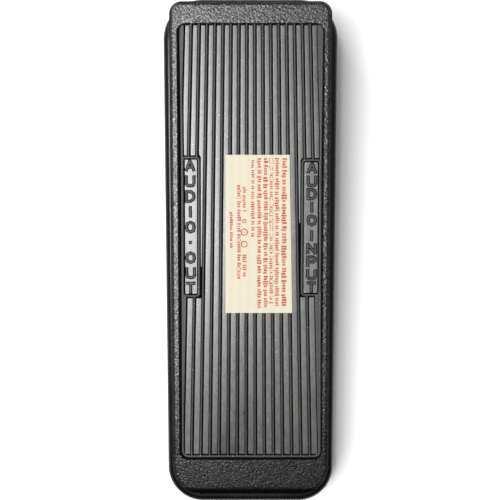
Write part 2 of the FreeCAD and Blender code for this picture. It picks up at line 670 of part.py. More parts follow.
# ---------------------------------------------------------------- treadle, drawn about the rod
PLATE_LOW = "(treadle_top - treadle_plate)"
SKIRT_LOW = "(treadle_top - skirt_deep)"
slab = doc.addObject("PartDesign::Body", "treadle_slab")
slab_outline = polygon(slab, "slab_outline", "XY_Plane", [
    ("-treadle_wid/2", "-tread_heel"),
    ("treadle_wid/2", "-tread_heel"),
    ("treadle_wid/2", "tread_toe"),
    ("-treadle_wid/2", "tread_toe"),
])
pad(slab, "slab_pad", slab_outline, "skirt_deep", SKIRT_LOW)
fillet(slab, "slab_toe", "treadle_corner_toe", lambda a, b: upright(a, b) and a.y > 0)
fillet(slab, "slab_heel", "treadle_corner_heel", lambda a, b: upright(a, b) and a.y < 0)
fillet(slab, "slab_edge", "treadle_round",
       lambda a, b: abs(a.z - size("treadle_top")) < 0.01 and abs(b.z - size("treadle_top")) < 0.01)
under = block_body("treadle_hollow", "-(treadle_wid/2 - skirt_wall)", "treadle_wid/2 - skirt_wall",
                   "-(tread_heel - skirt_wall)", "tread_toe - skirt_wall", f"{SKIRT_LOW} - 1",
                   f"{PLATE_LOW} - {SKIRT_LOW} + 1", "treadle_corner_toe - skirt_wall",
                   "treadle_corner_heel - skirt_wall")
bed = block_body("mat_bed", "-(mat_wid/2 + mat_gap)", "mat_wid/2 + mat_gap", "-(mat_heel + 3*mat_gap)",
                 "mat_toe + mat_gap", "treadle_top - mat_sunk", "mat_sunk + 2", "mat_corner + mat_gap",
                 "mat_corner + mat_gap")
lip = block_body("bed_lip_block", "-(mat_wid/2 + mat_gap + bed_lip)", "mat_wid/2 + mat_gap + bed_lip",
                 "-(mat_heel + 3*mat_gap + bed_lip)", "mat_toe + mat_gap + bed_lip", "treadle_top - bed_lip",
                 "bed_lip + 2", "mat_corner + mat_gap + bed_lip", "mat_corner + mat_gap + bed_lip")
LIP_Z = size("treadle_top - bed_lip")
fillet(lip, "bed_lip_bevel", "bed_lip - 0.001",
       lambda a, b: abs(a.z - LIP_Z) < 0.01 and abs(b.z - LIP_Z) < 0.01, "Chamfer", "Size")
treadle_raised = []
treadle_holes = []
BUSH_R = "(pivot_rad + run_gap + bush_wall)"
for side, low in (("right", "treadle_wid/2 - skirt_wall"), ("left", "-treadle_wid/2")):
    treadle_raised.append(cyl(f"lug_round_{side}", "x", (low, 0, 0), "lug_rad", "skirt_wall"))
    web = doc.addObject("PartDesign::Body", f"lug_web_{side}")
    profile = polygon(web, f"lug_profile_{side}", "YZ_Plane", [
        ("-lug_rad", 0),
        ("lug_rad", 0),
        ("lug_rad + 8", f"{SKIRT_LOW} + 1"),
        ("-lug_rad - 8", f"{SKIRT_LOW} + 1"),
    ])
    pad(web, f"lug_pad_{side}", profile, "skirt_wall", low)
    treadle_raised.append(web)
    treadle_holes.append(cyl(f"lug_hole_{side}", "x", (f"{low} - 1", 0, 0), BUSH_R, "skirt_wall + 2"))
EAR_IN = "(eye_wid/2 + rack_ear_gap)"
for side, low in (("right", EAR_IN), ("left", f"-({EAR_IN} + rack_ear_thk)")):
    treadle_raised.append(cyl(f"rack_ear_round_{side}", "x", (low, "arm_len", 0), "pin_rad + 2.6", "rack_ear_thk"))
    treadle_raised.append(box(f"rack_ear_web_{side}", (low, f"{low} + rack_ear_thk"),
                              ("arm_len - pin_rad - 2.6", "arm_len + pin_rad + 2.6"), ("0", f"{PLATE_LOW} + 0.5")))
treadle_holes.append(cyl("rack_ear_hole", "x", ("-20", "arm_len", 0), "pin_rad", "40"))
treadle_shell = cut("treadle_shell", slab, under, bed, lip)
treadle = cut("treadle_cut", fuse("treadle_filled", treadle_shell, *treadle_raised), *treadle_holes)
keep("treadle", on_treadle(treadle))

bushes = []
for side, sign in (("right", 1), ("left", -1)):
    low = "treadle_wid/2 - skirt_wall" if sign > 0 else "-treadle_wid/2"
    collar = "treadle_wid/2 - skirt_wall - bush_flange" if sign > 0 else "-(treadle_wid/2 - skirt_wall)"
    sleeve = cyl(f"bush_sleeve_{side}", "x", (low, 0, 0), BUSH_R, "skirt_wall")
    flange = cyl(f"bush_flange_{side}", "x", (collar, 0, 0), f"{BUSH_R} + 2", "bush_flange")
    hole = cyl(f"bush_hole_{side}", "x", (f"{collar} - 4", 0, 0), "pivot_rad + run_gap", "10")
    bushes.append(cut(f"bush_cut_{side}", fuse(f"bush_blank_{side}", sleeve, flange), hole))
keep("pivot_bushes", on_treadle(group("bush_pair", *bushes)))
PIN_X = f"({EAR_IN} + rack_ear_thk)"
keep("rack_pin", on_treadle(group("pin_group", cyl("pin", "x", (f"-{PIN_X}", "arm_len", 0), "pin_rad", f"2*{PIN_X}"))))
SWITCH_LOCAL = "((switch_y - pivot_y)/cos(tilt/2))"
keep("toe_pad", on_treadle(group("toe_pad_group", cyl(
    "toe_disc", "z", (0, SWITCH_LOCAL, f"{PLATE_LOW} - toe_pad_thk"), "toe_pad_rad", "toe_pad_thk"))))

# ---------------------------------------------------------------- rubber tread
MAT_LOW = "(treadle_top - mat_sunk)"
MAT_FACE = "(treadle_top - mat_sunk + mat_floor)"
mat = block_body("mat", "-mat_wid/2", "mat_wid/2", "-mat_heel", "mat_toe", MAT_LOW, "mat_floor + rib_hi",
                 "mat_corner", "mat_corner")
mat_well = block_body("mat_well", "-(mat_wid/2 - border_wid)", "mat_wid/2 - border_wid",
                      "-(mat_heel - border_wid)", "mat_toe - border_wid", MAT_FACE, "rib_hi + 1",
                      "mat_corner - border_wid", "mat_corner - border_wid")
ribs = []


def pitch_at(y):
    """Ribs fan out from the toe to the heel, so their pitch grows along the mat."""
    return f"(rib_pitch_toe + (rib_pitch_heel - rib_pitch_toe)*(mat_toe - ({y}))/(mat_toe + mat_heel))"


def rib(name, number, low, high):
    x_low = f"({number}*{pitch_at(low)})"
    x_high = f"({number}*{pitch_at(high)})"
    bar = doc.addObject("Part::Box", name)
    bar.Placement = FreeCAD.Placement(FreeCAD.Vector(), FreeCAD.Rotation(FreeCAD.Vector(0, 0, 1), 1))
    bind(bar, "Length", "rib_wid")
    bind(bar, "Width", f"({high}) - ({low})")
    bind(bar, "Height", "rib_hi + 0.2")
    bind(bar, "Placement.Rotation.Angle", f"atan(({x_low} - {x_high})/(({high}) - ({low})))")
    return at(bar, (f"{x_low} - rib_wid/2", low, f"{MAT_FACE} - 0.2"))


for i in range(16):
    number = i - 7.5
    ribs.append(rib(f"rib_toe_{i}", number, "panel_y1 + 0.1", "mat_toe - border_wid + 0.1"))
    if abs(number) < 5.8:
        ribs.append(rib(f"rib_mid_{i}", number, "panel_y0 - 0.1", "panel_y1 + 0.2"))
    if abs(number) < 6.8:
        ribs.append(rib(f"rib_heel_{i}", number, "-(mat_heel - border_wid + 0.1)", "panel_y0 + 0.1"))
for side, sign in (("right", 1), ("left", -1)):
    near = "mat_wid/2 - border_wid - panel_wid"
    far = "mat_wid/2 - border_wid + 0.1"
    xs = (near, far) if sign > 0 else (f"-({far})", f"-({near})")
    frame = box(f"panel_frame_{side}", xs, ("panel_y0", "panel_y1"), (f"{MAT_FACE} - 0.2", f"{MAT_FACE} + rib_hi"))
    xs = (f"{near} + rib_wid", "mat_wid/2 - border_wid") if sign > 0 else (
        "-(mat_wid/2 - border_wid)", f"-({near} + rib_wid)")
    pane = box(f"panel_pane_{side}", xs, ("panel_y0 + rib_wid", "panel_y1 - rib_wid"),
               (MAT_FACE, f"{MAT_FACE} + rib_hi + 1"))
    ribs.append(cut(f"panel_ring_{side}", frame, pane))
mat_ribbed = fuse("mat_ribbed", cut("mat_tray", mat, mat_well), *ribs)
keep("rubber_tread", on_treadle(mat_ribbed))
keep("info_label", on_treadle(group("label_group", box(
    "label_sheet", ("label_x0", "label_x1"), ("label_y0", "label_y1"),
    (f"{MAT_FACE} + rib_hi", f"{MAT_FACE} + rib_hi + label_thk")))))

# ---------------------------------------------------------------- rack, pinion, potentiometer
RACK_LEFT = "-rack_wid/2"
bar = box("rack_bar", (RACK_LEFT, "rack_wid/2"), (BAR_Y0, f"{BAR_Y0} + rack_back"), ("rack_foot_z", f"{PIN_Z} - 1"))
EYE_Y = "(pin_rad + pin_gap + pin_slide/2 + eye_wall)"
EYE_Z = "(pin_rad + pin_gap + eye_wall)"
eye = box("rack_eye", ("-eye_wid/2", "eye_wid/2"), (f"{PIN_Y} - {EYE_Y}", f"{PIN_Y} + {EYE_Y}"),
          (f"{PIN_Z} - {EYE_Z}", f"{PIN_Z} + {EYE_Z}"))
neck = box("rack_neck", ("-rack_wid/2 - 1", "rack_wid/2 + 1"), (f"{PIN_Y} - 9", f"{PIN_Y} + 9"),
           (f"{PIN_Z} - {EYE_Z} - 1.4", f"{PIN_Z} + 9"))
bar_low = cut("rack_bar_low", bar, neck)
neck_low = box("rack_shoulder", ("-eye_wid/2", "eye_wid/2"), (BAR_Y0, f"{BAR_Y0} + rack_back"),
               (f"{PIN_Z} - {EYE_Z} - 3", f"{PIN_Z} - {EYE_Z} + 1"))
pin_slot = []
for i, shift in enumerate(("-pin_slide/2", "pin_slide/2")):
    pin_slot.append(cyl(f"slot_end_{i}", "x", ("-10", f"{PIN_Y} + {shift}", PIN_Z), "pin_rad + pin_gap", "20"))
pin_slot.append(box("slot_mid", ("-10", "10"), (f"{PIN_Y} - pin_slide/2", f"{PIN_Y} + pin_slide/2"),
                    (f"{PIN_Z} - pin_rad - pin_gap", f"{PIN_Z} + pin_rad + pin_gap")))

module = size("gear_mod")
teeth = int(size("gear_teeth"))
pressure = math.radians(20)
half_tooth = size("tooth_thk")/2
tip = size("tooth_up")
root = size("tooth_down")


def rack_teeth():
    """Straight-sided teeth in line with the pinion, one of them at its height at rest."""
    solids = []
    low = size("rack_foot_z")
    pitch_y = size(PITCH_Y)
    for step in range(-6, 4):
        centre = size("gear_z") + step*math.pi*module
        if centre - half_tooth - root*math.tan(pressure) < low:
            continue
        spots = []
        for depth, up in ((-root - 0.2, 1), (tip, 1), (tip, -1), (-root - 0.2, -1)):
            half = half_tooth - depth*math.tan(pressure)
            spots.append(FreeCAD.Vector(size(RACK_LEFT), pitch_y + depth, centre + up*half))
        face = Part.Face(Part.makePolygon(spots + spots[:1]))
        solids.append(face.extrude(FreeCAD.Vector(size("rack_wid"), 0, 0)))
    return Part.makeCompound(solids)


def pinion_outline():
    """Involute flanks from the root to the tip of each tooth, with a gap towards the rack."""
    pitch = module*teeth/2
    base = pitch*math.cos(pressure)
    spots = []
    for k in range(teeth):
        middle = math.pi + (k + 0.5)*2*math.pi/teeth
        flank = []
        for i in range(7):
            radius = max(base, pitch - root) + (pitch + tip - max(base, pitch - root))*i/6
            angle = math.acos(base/radius)
            swing = half_tooth/pitch + math.tan(pressure) - pressure - math.tan(angle) + angle
            flank.append((radius, swing))
        first = flank[0]
        flank.insert(0, (pitch - root, first[1]))
        for radius, swing in flank:
            spots.append((radius, middle - swing))
        for radius, swing in reversed(flank):
            spots.append((radius, middle + swing))
    points = [FreeCAD.Vector(0, r*math.cos(a), r*math.sin(a)) for r, a in spots]
    return Part.makePolygon(points + points[:1])


tooth_row = doc.addObject("Part::Feature", "tooth_row")
tooth_row.Shape = rack_teeth()
keep("rack", cut("rack_cut", fuse("rack_blank", bar_low, neck_low, eye, tooth_row), *pin_slot))

wheel = doc.addObject("Part::Feature", "wheel_blank")
wheel.Shape = Part.Face(pinion_outline()).extrude(FreeCAD.Vector(size("gear_wid"), 0, 0))
wheel.Placement = FreeCAD.Placement()
at(wheel, ("-gear_wid/2", GEAR_Y, "gear_z"))
wheel_bore = cyl("wheel_bore", "x", ("-gear_wid", GEAR_Y, "gear_z"), "shaft_rad", "2*gear_wid")
keep("pinion", cut("pinion_cut", wheel, wheel_bore))
SHAFT_X0 = "(pot_face_x - 1.2)"
keep("pot_shaft", cyl("shaft", "x", (SHAFT_X0, GEAR_Y, "gear_z"), "shaft_rad", f"gear_wid/2 + 1 - {SHAFT_X0}"))

can = cyl("pot_can", "x", ("pot_face_x - pot_deep", GEAR_Y, "gear_z"), "pot_rad", "pot_deep")
thread = cyl("pot_thread_rod", "x", ("pot_face_x - 1", GEAR_Y, "gear_z"), "pot_thread", "pot_thread_len + 1")
TAG_Z = "(gear_z - pot_rad - 0.8)"
strip = box("pot_strip", ("pot_face_x - 8", "pot_face_x - 5.6"), (f"{GEAR_Y} - 5", f"{GEAR_Y} + 5"),
            (TAG_Z, "gear_z - 3"))
pot_bore = cyl("pot_bore", "x", (f"{SHAFT_X0} - 0.3", GEAR_Y, "gear_z"), "shaft_rad + run_gap", "20")
keep("pot_body", cut("pot_cut", fuse("pot_blank", can, thread, strip), pot_bore))
tags = []
for i, shift in enumerate((-3.2, 0, 3.2)):
    tags.append(box(f"tag_{i}", ("pot_face_x - 7.2", "pot_face_x - 6.5"),
                    (f"{GEAR_Y} + {shift} - 0.9", f"{GEAR_Y} + {shift} + 0.9"), (f"{TAG_Z} - 3.4", TAG_Z)))
keep("pot_terminals", group("tag_row", *tags))
POT_PLATE_X = "(pot_face_x + bracket_thk)"
pot_hex = hexagon("pot_hex", "x", (POT_PLATE_X, GEAR_Y, "gear_z"), "pot_nut_rad", "pot_nut_thk")
pot_hex_hole = cyl("pot_hex_hole", "x", (f"{POT_PLATE_X} - 1", GEAR_Y, "gear_z"), "pot_thread", "pot_nut_thk + 2")
keep("pot_nut", cut("pot_nut_cut", pot_hex, pot_hex_hole))
web_plate = box("bracket_web", ("pot_face_x", POT_PLATE_X), (f"{GEAR_Y} - 7.5", FLANGE_Y1),
                ("gear_z - 8.5", BRACKET_Z))
shelf = box("bracket_shelf", ("pot_face_x", "8.5"), (FLANGE_Y0, FLANGE_Y1), (f"{BRACKET_Z} - bracket_thk", BRACKET_Z))
bracket_holes = [cyl("bracket_hole", "x", ("pot_face_x - 1", GEAR_Y, "gear_z"), "pot_thread", "bracket_thk + 2")]
bracket_screws = []
for i, x in enumerate(("-4", "4")):
    bracket_holes.append(cyl(f"shelf_hole_{i}", "z", (x, FLANGE_Y, f"{BRACKET_Z} - 5"), "board_screw_rad", "8"))
    head = cyl(f"shelf_head_{i}", "z", (x, FLANGE_Y, f"{BRACKET_Z} - bracket_thk - 1.8"), "2.8", "1.8")
    shank = cyl(f"shelf_shank_{i}", "z", (x, FLANGE_Y, f"{BRACKET_Z} - bracket_thk - 1"), "board_screw_rad",
                "bracket_thk + 3.6")
    bracket_screws.append(fuse(f"shelf_screw_{i}", head, shank))
keep("pot_bracket", cut("bracket_cut", fuse("bracket_blank", web_plate, shelf), *bracket_holes))
keep("bracket_screws", group("bracket_screw_pair", *bracket_screws))
keep("rack_guide", box("guide", ("-6", "6"), (f"{GUIDE_Y1} - 4", GUIDE_Y1), ("gear_z - 6", BRACKET_Z)))

# ---------------------------------------------------------------- foot switch
SWITCH_TOP = "(switch_body_z + switch_body_hi)"
switch_can = box("switch_can", ("-switch_body/2", "switch_body/2"),
                 ("switch_y - switch_body/2", "switch_y + switch_body/2"), ("switch_body_z", SWITCH_TOP))
switch_tube = cyl("switch_tube", "z", (0, "switch_y", f"{SWITCH_TOP} - 1"), "switch_thread",
                  f"{PAD_TOP} + switch_nut_thk + 0.2 - {SWITCH_TOP} + 1")
PLUNGER_LOW = f"({SWITCH_TOP} - 4)"
switch_bore = cyl("switch_bore", "z", (0, "switch_y", f"{PLUNGER_LOW} - 2.4"), "plunger_rad + run_gap", "40")
keep("footswitch_body", cut("switch_cut", fuse("switch_blank", switch_can, switch_tube), switch_bore))
switch_nuts = []
for name, low, thick in (("top", PAD_TOP, "switch_nut_thk"),
                         ("low", SWITCH_TOP, f"{PAD_LOW} - {SWITCH_TOP}")):
    blank = hexagon(f"switch_hex_{name}", "z", (0, "switch_y", low), "switch_nut_rad", thick)
    hole = cyl(f"switch_hex_hole_{name}", "z", (0, "switch_y", f"{low} - 1"), "switch_thread", f"{thick} + 2")
    switch_nuts.append(cut(f"switch_nut_{name}", blank, hole))
keep("footswitch_nuts", group("switch_nut_pair", *switch_nuts))
lugs = []
for i, x in enumerate((-5, 0, 5)):
    for j, y in enumerate((-4, 4)):
        lugs.append(box(f"switch_lug_{i}_{j}", (f"{x} - 1", f"{x} + 1"),
                        (f"switch_y + {y} - 0.4", f"switch_y + {y} + 0.4"), ("switch_body_z - 4", "switch_body_z")))
keep("footswitch_lugs", group("switch_lug_rows", *lugs))
stem = cyl("stem", "z", (0, "switch_y", PLUNGER_LOW), "plunger_rad", f"plunger_top - 0.9 - {PLUNGER_LOW}")
crown = turned("Part::Cone", "crown", "z", (0, "switch_y", "plunger_top - 0.9"), Radius1="plunger_rad",
               Radius2="plunger_rad - 0.9", Height="0.9")
keep("footswitch_plunger", fuse("plunger", stem, crown))

# ---------------------------------------------------------------- rubber stops on the deck
for label, y in (("heel_bumpers", "bumper_heel_y"), ("toe_bumpers", "bumper_toe_y")):
    pair = []
    for i, x in enumerate(("-bumper_x", "bumper_x")):
        stud = doc.addObject("Part::Cylinder", f"{label}_{i}")
        bind(stud, "Radius", "bumper_rad")
        bind(stud, "Height", "bumper_hi")
        pair.append(on_deck(stud, x, y))
    keep(label, group(f"{label}_pair", *pair))

doc.recompute()
for obj in doc.Objects:
    bad = [word for word in obj.State if word in ("Invalid", "Error")]
    if bad:
        raise RuntimeError(f"{obj.Name} failed: {bad}")
for label, obj in PARTS.items():
    if obj.Shape.isNull() or not obj.Shape.isValid() or obj.Shape.Volume < 0.1:
        raise RuntimeError(f"{label} has no sound shape")
    obj.Shape.exportStep(f"parts/{label}.step")
    print(label, len(obj.Shape.Solids), round(obj.Shape.Volume, 1))
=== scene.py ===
import json
import math
import random
from functools import partial

import bmesh
import bpy
from mathutils import Matrix, Vector


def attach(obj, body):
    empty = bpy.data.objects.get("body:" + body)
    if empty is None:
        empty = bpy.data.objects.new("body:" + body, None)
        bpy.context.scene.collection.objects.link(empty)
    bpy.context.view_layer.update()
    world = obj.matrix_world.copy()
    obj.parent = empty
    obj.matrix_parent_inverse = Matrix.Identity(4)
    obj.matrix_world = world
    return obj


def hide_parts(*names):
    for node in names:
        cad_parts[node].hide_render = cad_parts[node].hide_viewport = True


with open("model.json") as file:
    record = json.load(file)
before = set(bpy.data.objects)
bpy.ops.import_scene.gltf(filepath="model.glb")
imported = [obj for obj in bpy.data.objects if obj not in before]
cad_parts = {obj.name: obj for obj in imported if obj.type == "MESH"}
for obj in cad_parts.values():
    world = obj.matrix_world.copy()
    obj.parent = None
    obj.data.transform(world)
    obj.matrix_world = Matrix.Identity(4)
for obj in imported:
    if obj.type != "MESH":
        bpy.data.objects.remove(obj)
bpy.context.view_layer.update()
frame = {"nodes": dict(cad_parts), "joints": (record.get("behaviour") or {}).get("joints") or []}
NODES = frame["nodes"]
MM = 0.001

# ---------------------------------------------------------------- the treadle's own frame
# Lengths on the treadle are in millimetres from the pivot's axis: x towards the input side,
# y towards the toe along the board, z up out of it. At rest the board is pitched by TILT.
# The tread and the label lie MAT_SHIFT off the board's middle, towards the input side.
TILT = math.radians(5.7)
MAT_SHIFT = 0.15
ROCK = next(j for j in frame["joints"] if j["name"] == "treadle_rock")
PIVOT = Vector(ROCK["pos_m"])
ON_BOARD = Matrix.Translation(PIVOT) @ Matrix.Rotation(TILT, 4, "X") @ Matrix.Scale(MM, 4)
ON_MAT = ON_BOARD @ Matrix.Translation((MAT_SHIFT, 0, 0))

# heights above the pivot: the treadle's bed, the tread's web, its floors and its ridges' tops
BED = 10.0
DEEP = 10.35
FLOOR = 11.3
RIDGE = 12.1
# pieces of the tread start this low, inside the web
ROOT = BED + 0.2

# ---------------------------------------------------------------- mesh helpers
BEVEL = 1 - math.cos(math.pi / 4)
END_ANGLES = (0, 25, 50, 75, 90)
END_DROP = 0.6
THINNEST = 0.05
SHARPEST_MITRE = 0.5
WELD = 1e-5
SHARP_ANGLE = math.radians(35)


def lerp(a, b, t):
    return a + (b - a) * t


def along(table, y):
    """Value at y in a short table of (y, value) rows that rise in y."""
    if y <= table[0][0]:
        return table[0][1]
    for (y0, v0), (y1, v1) in zip(table, table[1:]):
        if y <= y1:
            return lerp(v0, v1, (y - y0) / (y1 - y0))
    return table[-1][1]


def loft(bm, rings, closed=False, mat=0):
    """Skins a row of rings with the same number of points, and caps its ends unless it closes."""
    made = [[bm.verts.new(p) for p in ring] for ring in rings]
    n = len(made[0])
    after = made[1:] + made[:1] if closed else made[1:]
    for a, b in zip(made, after):
        for i in range(n):
            j = (i + 1) % n
            face = bm.faces.new((a[i], a[j], b[j], b[i]))
            face.material_index = mat
            face.smooth = True
    if not closed:
        for ring in (list(reversed(made[0])), made[-1]):
            face = bm.faces.new(ring)
            face.material_index = mat


def bead_section(half, low, high, edge, foot):
    """Cross-section of a bar: flat foot, drafted sides and a top with rounded edges."""
    e = min(edge, half * 0.98)
    side = [
        (half + foot, low),
        (half, high - e),
        (half - e * BEVEL, high - e * BEVEL),
        (half - e, high),
    ]
    return side + [(-x, z) for x, z in reversed(side)]


def rounded_stops(run, ends):
    """Where a bar's sections stand, as (distance along it, how far they draw back)."""
    if ends <= 0:
        return [(s, 0.0) for s in run]
    total = run[-1]
    stops = [(s, 0.0) for s in run[1:-1] if ends < s < total - ends]
    for degrees in END_ANGLES:
        a = math.radians(degrees)
        gone = ends * (1 - math.cos(a))
        back = ends * (1 - math.sin(a))
        stops.append((gone, back))
        stops.append((total - gone, back))
    return sorted(stops)


def bar(bm, spine, half, low, high, edge, foot=0.0, ends=0.0, mat=0):
    """A bar along spine, a list of (x, y). half is a number, or a function of the share of its
    length. ends is how far its ends are rounded down, in plan and in height."""
    pts = [Vector(p) for p in spine]
    run = [0.0]
    for a, b in zip(pts, pts[1:]):
        run.append(run[-1] + (b - a).length)
    width = half if callable(half) else (lambda t: half)
    rings = []
    for s, back in rounded_stops(run, ends):
        i = max(k for k in range(len(run)) if run[k] <= s + 1e-9)
        i = min(i, len(pts) - 2)
        t = (s - run[i]) / (run[i + 1] - run[i])
        p = pts[i].lerp(pts[i + 1], t)
        d = (pts[i + 1] - pts[i]).normalized()
        if t < 1e-6 and i > 0:
            d = ((pts[i] - pts[i - 1]).normalized() + d).normalized()
        if t > 1 - 1e-6 and i + 2 < len(pts):
            d = (d + (pts[i + 2] - pts[i + 1]).normalized()).normalized()
        across = Vector((d.y, -d.x))
        w = max(width(s / run[-1]) - back, THINNEST)
        section = bead_section(w, low, high - back * END_DROP, edge, foot)
        rings.append([(p.x + across.x * u, p.y + across.y * u, z) for u, z in section])
    loft(bm, rings, mat=mat)


def round_box(x0, y0, x1, y1, r, steps):
    """Outline of a rounded rectangle, anticlockwise, from its corner at (x1, y1)."""
    corners = (
        (x1 - r, y1 - r, 0),
        (x0 + r, y1 - r, 90),
        (x0 + r, y0 + r, 180),
        (x1 - r, y0 + r, 270),
    )
    pts = []
    for cx, cy, a0 in corners:
        for i in range(steps + 1):
            a = math.radians(a0 + 90 * i / steps)
            pts.append((cx + r * math.cos(a), cy + r * math.sin(a)))
    return pts


def hoop(bm, outline, half, low, high, edge, foot=0.0):
    """A bar that closes on itself round an outline."""
    n = len(outline)
    pts = [Vector(p) for p in outline]
    section = bead_section(half, low, high, edge, foot)
    rings = []
    for i, p in enumerate(pts):
        a = (p - pts[i - 1]).normalized()
        b = (pts[(i + 1) % n] - p).normalized()
        d = (a + b).normalized()
        across = Vector((d.y, -d.x)) / max(SHARPEST_MITRE, d.dot(b))
        rings.append([(p.x + across.x * u, p.y + across.y * u, z) for u, z in section])
    loft(bm, rings, closed=True)


def draw_in(pts, distance):
    """An anticlockwise outline drawn in by a distance."""
    out = []
    for i, p in enumerate(pts):
        a = (p - pts[i - 1]).normalized()
        b = (pts[(i + 1) % len(pts)] - p).normalized()
        m = (a + b).normalized()
        out.append(p + Vector((-m.y, m.x)) * (distance / max(SHARPEST_MITRE, m.dot(b))))
    return out


def plank(bm, outline, low, high, edge, mat=0):
    """A flat piece with the given outline and softened top edges."""
    pts = [Vector(p) for p in outline]
    levels = ((0, low), (0, high - edge), (edge * BEVEL, high - edge * BEVEL), (edge, high))
    rings = [[(p.x, p.y, z) for p in draw_in(pts, inset)] for inset, z in levels]
    loft(bm, rings, mat=mat)


def finish_mesh(name, bm, world, *materials):
    """Turns a bmesh into an object that stands at world."""
    bmesh.ops.remove_doubles(bm, verts=bm.verts, dist=WELD)
    bmesh.ops.recalc_face_normals(bm, faces=bm.faces)
    mesh = bpy.data.meshes.new(name)
    bm.to_mesh(mesh)
    bm.free()
    obj = bpy.data.objects.new(name, mesh)
    bpy.context.scene.collection.objects.link(obj)
    obj.matrix_world = world
    bpy.context.view_layer.update()
    mesh.set_sharp_from_angle(angle=SHARP_ANGLE)
    even = obj.modifiers.new("even_faces", "WEIGHTED_NORMAL")
    even.keep_sharp = True
    for material in materials:
        mesh.materials.append(material)
    return obj


# ---------------------------------------------------------------- material helpers
class Nodes:
    """A short way to build a node tree. Its patterns follow the object's own coordinates:
    metres on the CAD pieces, millimetres on the tread and the label."""

    def __init__(self, name):
        self.mat = bpy.data.materials.new(name)
        self.mat.use_nodes = True
        self.tree = self.mat.node_tree
        self.tree.nodes.clear()
        self.bsdf = self.add("ShaderNodeBsdfPrincipled")
        self.link(self.bsdf.outputs[0], self.add("ShaderNodeOutputMaterial").inputs[0])
        self.coords = self.add("ShaderNodeTexCoord").outputs["Object"]

    def add(self, kind, **values):
        node = self.tree.nodes.new(kind)
        for key, value in values.items():
            setattr(node, key, value)
        return node

    def link(self, a, b):
        self.tree.links.new(a, b)

    def set(self, **values):
        for key, value in values.items():
            self.bsdf.inputs[key.replace("_", " ")].default_value = value

    def split(self, vector):
        """The X, Y and Z of a vector, by name."""
        node = self.add("ShaderNodeSeparateXYZ")
        self.link(vector, node.inputs[0])
        return node.outputs

    def noise(self, scale, detail=3.0, rough=0.55, stretch=(1, 1, 1)):
        mapping = self.add("ShaderNodeMapping")
        mapping.inputs["Scale"].default_value = stretch
        self.link(self.coords, mapping.inputs["Vector"])
        node = self.add("ShaderNodeTexNoise")
        node.inputs["Scale"].default_value = scale
        node.inputs["Detail"].default_value = detail
        node.inputs["Roughness"].default_value = rough
        self.link(mapping.outputs[0], node.inputs["Vector"])
        return node.outputs["Fac"]

    def cells(self, scale):
        node = self.add("ShaderNodeTexVoronoi")
        node.inputs["Scale"].default_value = scale
        self.link(self.coords, node.inputs["Vector"])
        return node.outputs["Distance"]

    def ramp(self, value, low, high, to_low=0.0, to_high=1.0):
        node = self.add("ShaderNodeMapRange", clamp=True)
        limits = (("From Min", low), ("From Max", high), ("To Min", to_low), ("To Max", to_high))
        for key, v in limits:
            node.inputs[key].default_value = v
        self.link(value, node.inputs["Value"])
        return node.outputs[0]

    def mix(self, fac, a, b):
        """Colour a where fac is 0 and b where it is 1. Each is a colour or a socket."""
        node = self.add("ShaderNodeMix", data_type="RGBA")
        self.link(fac, node.inputs["Factor"])
        for key, v in ((6, a), (7, b)):
            if isinstance(v, tuple):
                node.inputs[key].default_value = v + (1,)
            else:
                self.link(v, node.inputs[key])
        return node.outputs[2]

    def maths(self, kind, a, b):
        node = self.add("ShaderNodeMath", operation=kind)
        for key, v in ((0, a), (1, b)):
            if isinstance(v, (int, float)):
                node.inputs[key].default_value = v
            else:
                self.link(v, node.inputs[key])
        return node.outputs[0]

    def times(self, a, b):
        return self.maths("MULTIPLY", a, b)

    def plus(self, a, b):
        return self.maths("ADD", a, b)

    def color(self, socket):
        self.link(socket, self.bsdf.inputs["Base Color"])

    def roughness(self, socket):
        self.link(socket, self.bsdf.inputs["Roughness"])

    def specular(self, socket):
        self.link(socket, self.bsdf.inputs["Specular IOR Level"])

    def bump(self, height, distance, strength=1.0):
        node = self.add("ShaderNodeBump")
        node.inputs["Distance"].default_value = distance
        node.inputs["Strength"].default_value = strength
        self.link(height, node.inputs["Height"])
        self.link(node.outputs[0], self.bsdf.inputs["Normal"])


def grey(value):
    return (value, value, value)


# ---------------------------------------------------------------- materials
def treadle_paint():
    """Coarse hammered black paint with fine light specks."""
    heel_shade_band = (-0.1160, -0.1142)
    heel_dimming_span = (-0.112, -0.045)
    grain_height = 0.00015
    n = Nodes("treadle_paint")
    grit = n.noise(1250.0, detail=2.0, rough=0.6)
    lump = n.cells(820.0)
    slow = n.noise(35.0, detail=2.0)
    speck = n.noise(1500.0, detail=1.0)
    body = n.mix(n.ramp(slow, 0.35, 0.7), (0.0035, 0.0035, 0.0037), (0.0060, 0.0060, 0.0062))
    facing = n.split(n.add("ShaderNodeTexCoord").outputs["Normal"])
    place = n.split(n.coords)
    # grain on the upward face only: the sides and a band along the heel edge are smooth and dull, and the
    # heel band is painted darker as painted shade
    inside = n.ramp(place["Y"], *heel_shade_band)
    flat = n.times(n.ramp(facing["Z"], 0.60, 0.90), inside)
    grained = n.mix(n.times(n.ramp(speck, 0.58, 0.70), flat), body, grey(0.030))
    # painted shade: the band along the heel edge is coloured a deeper black than the paint elsewhere
    n.color(n.mix(inside, grey(0.0013), grained))
    smooth = n.ramp(flat, 0.0, 1.0, 0.72, 0.0)
    n.roughness(n.maths("MAXIMUM", n.ramp(grit, 0.35, 0.65, 0.23, 0.36), smooth))
    # painted shade: the paint's reflection is turned down towards the heel end, standing in for the light
    # falling off there
    heel_dimming = n.ramp(place["Y"], *heel_dimming_span, 0.5, 1.0)
    shine = n.times(n.ramp(speck, 0.40, 0.64, 0.28, 0.85), heel_dimming)
    shine = n.times(shine, n.ramp(flat, 0.0, 1.0, 0.12, 1.0))
    shine = n.times(shine, n.ramp(inside, 0.0, 1.0, 0.25, 1.0))
    n.specular(shine)
    n.bump(n.plus(grit, n.times(lump, -0.5)), grain_height)
    return n.mat


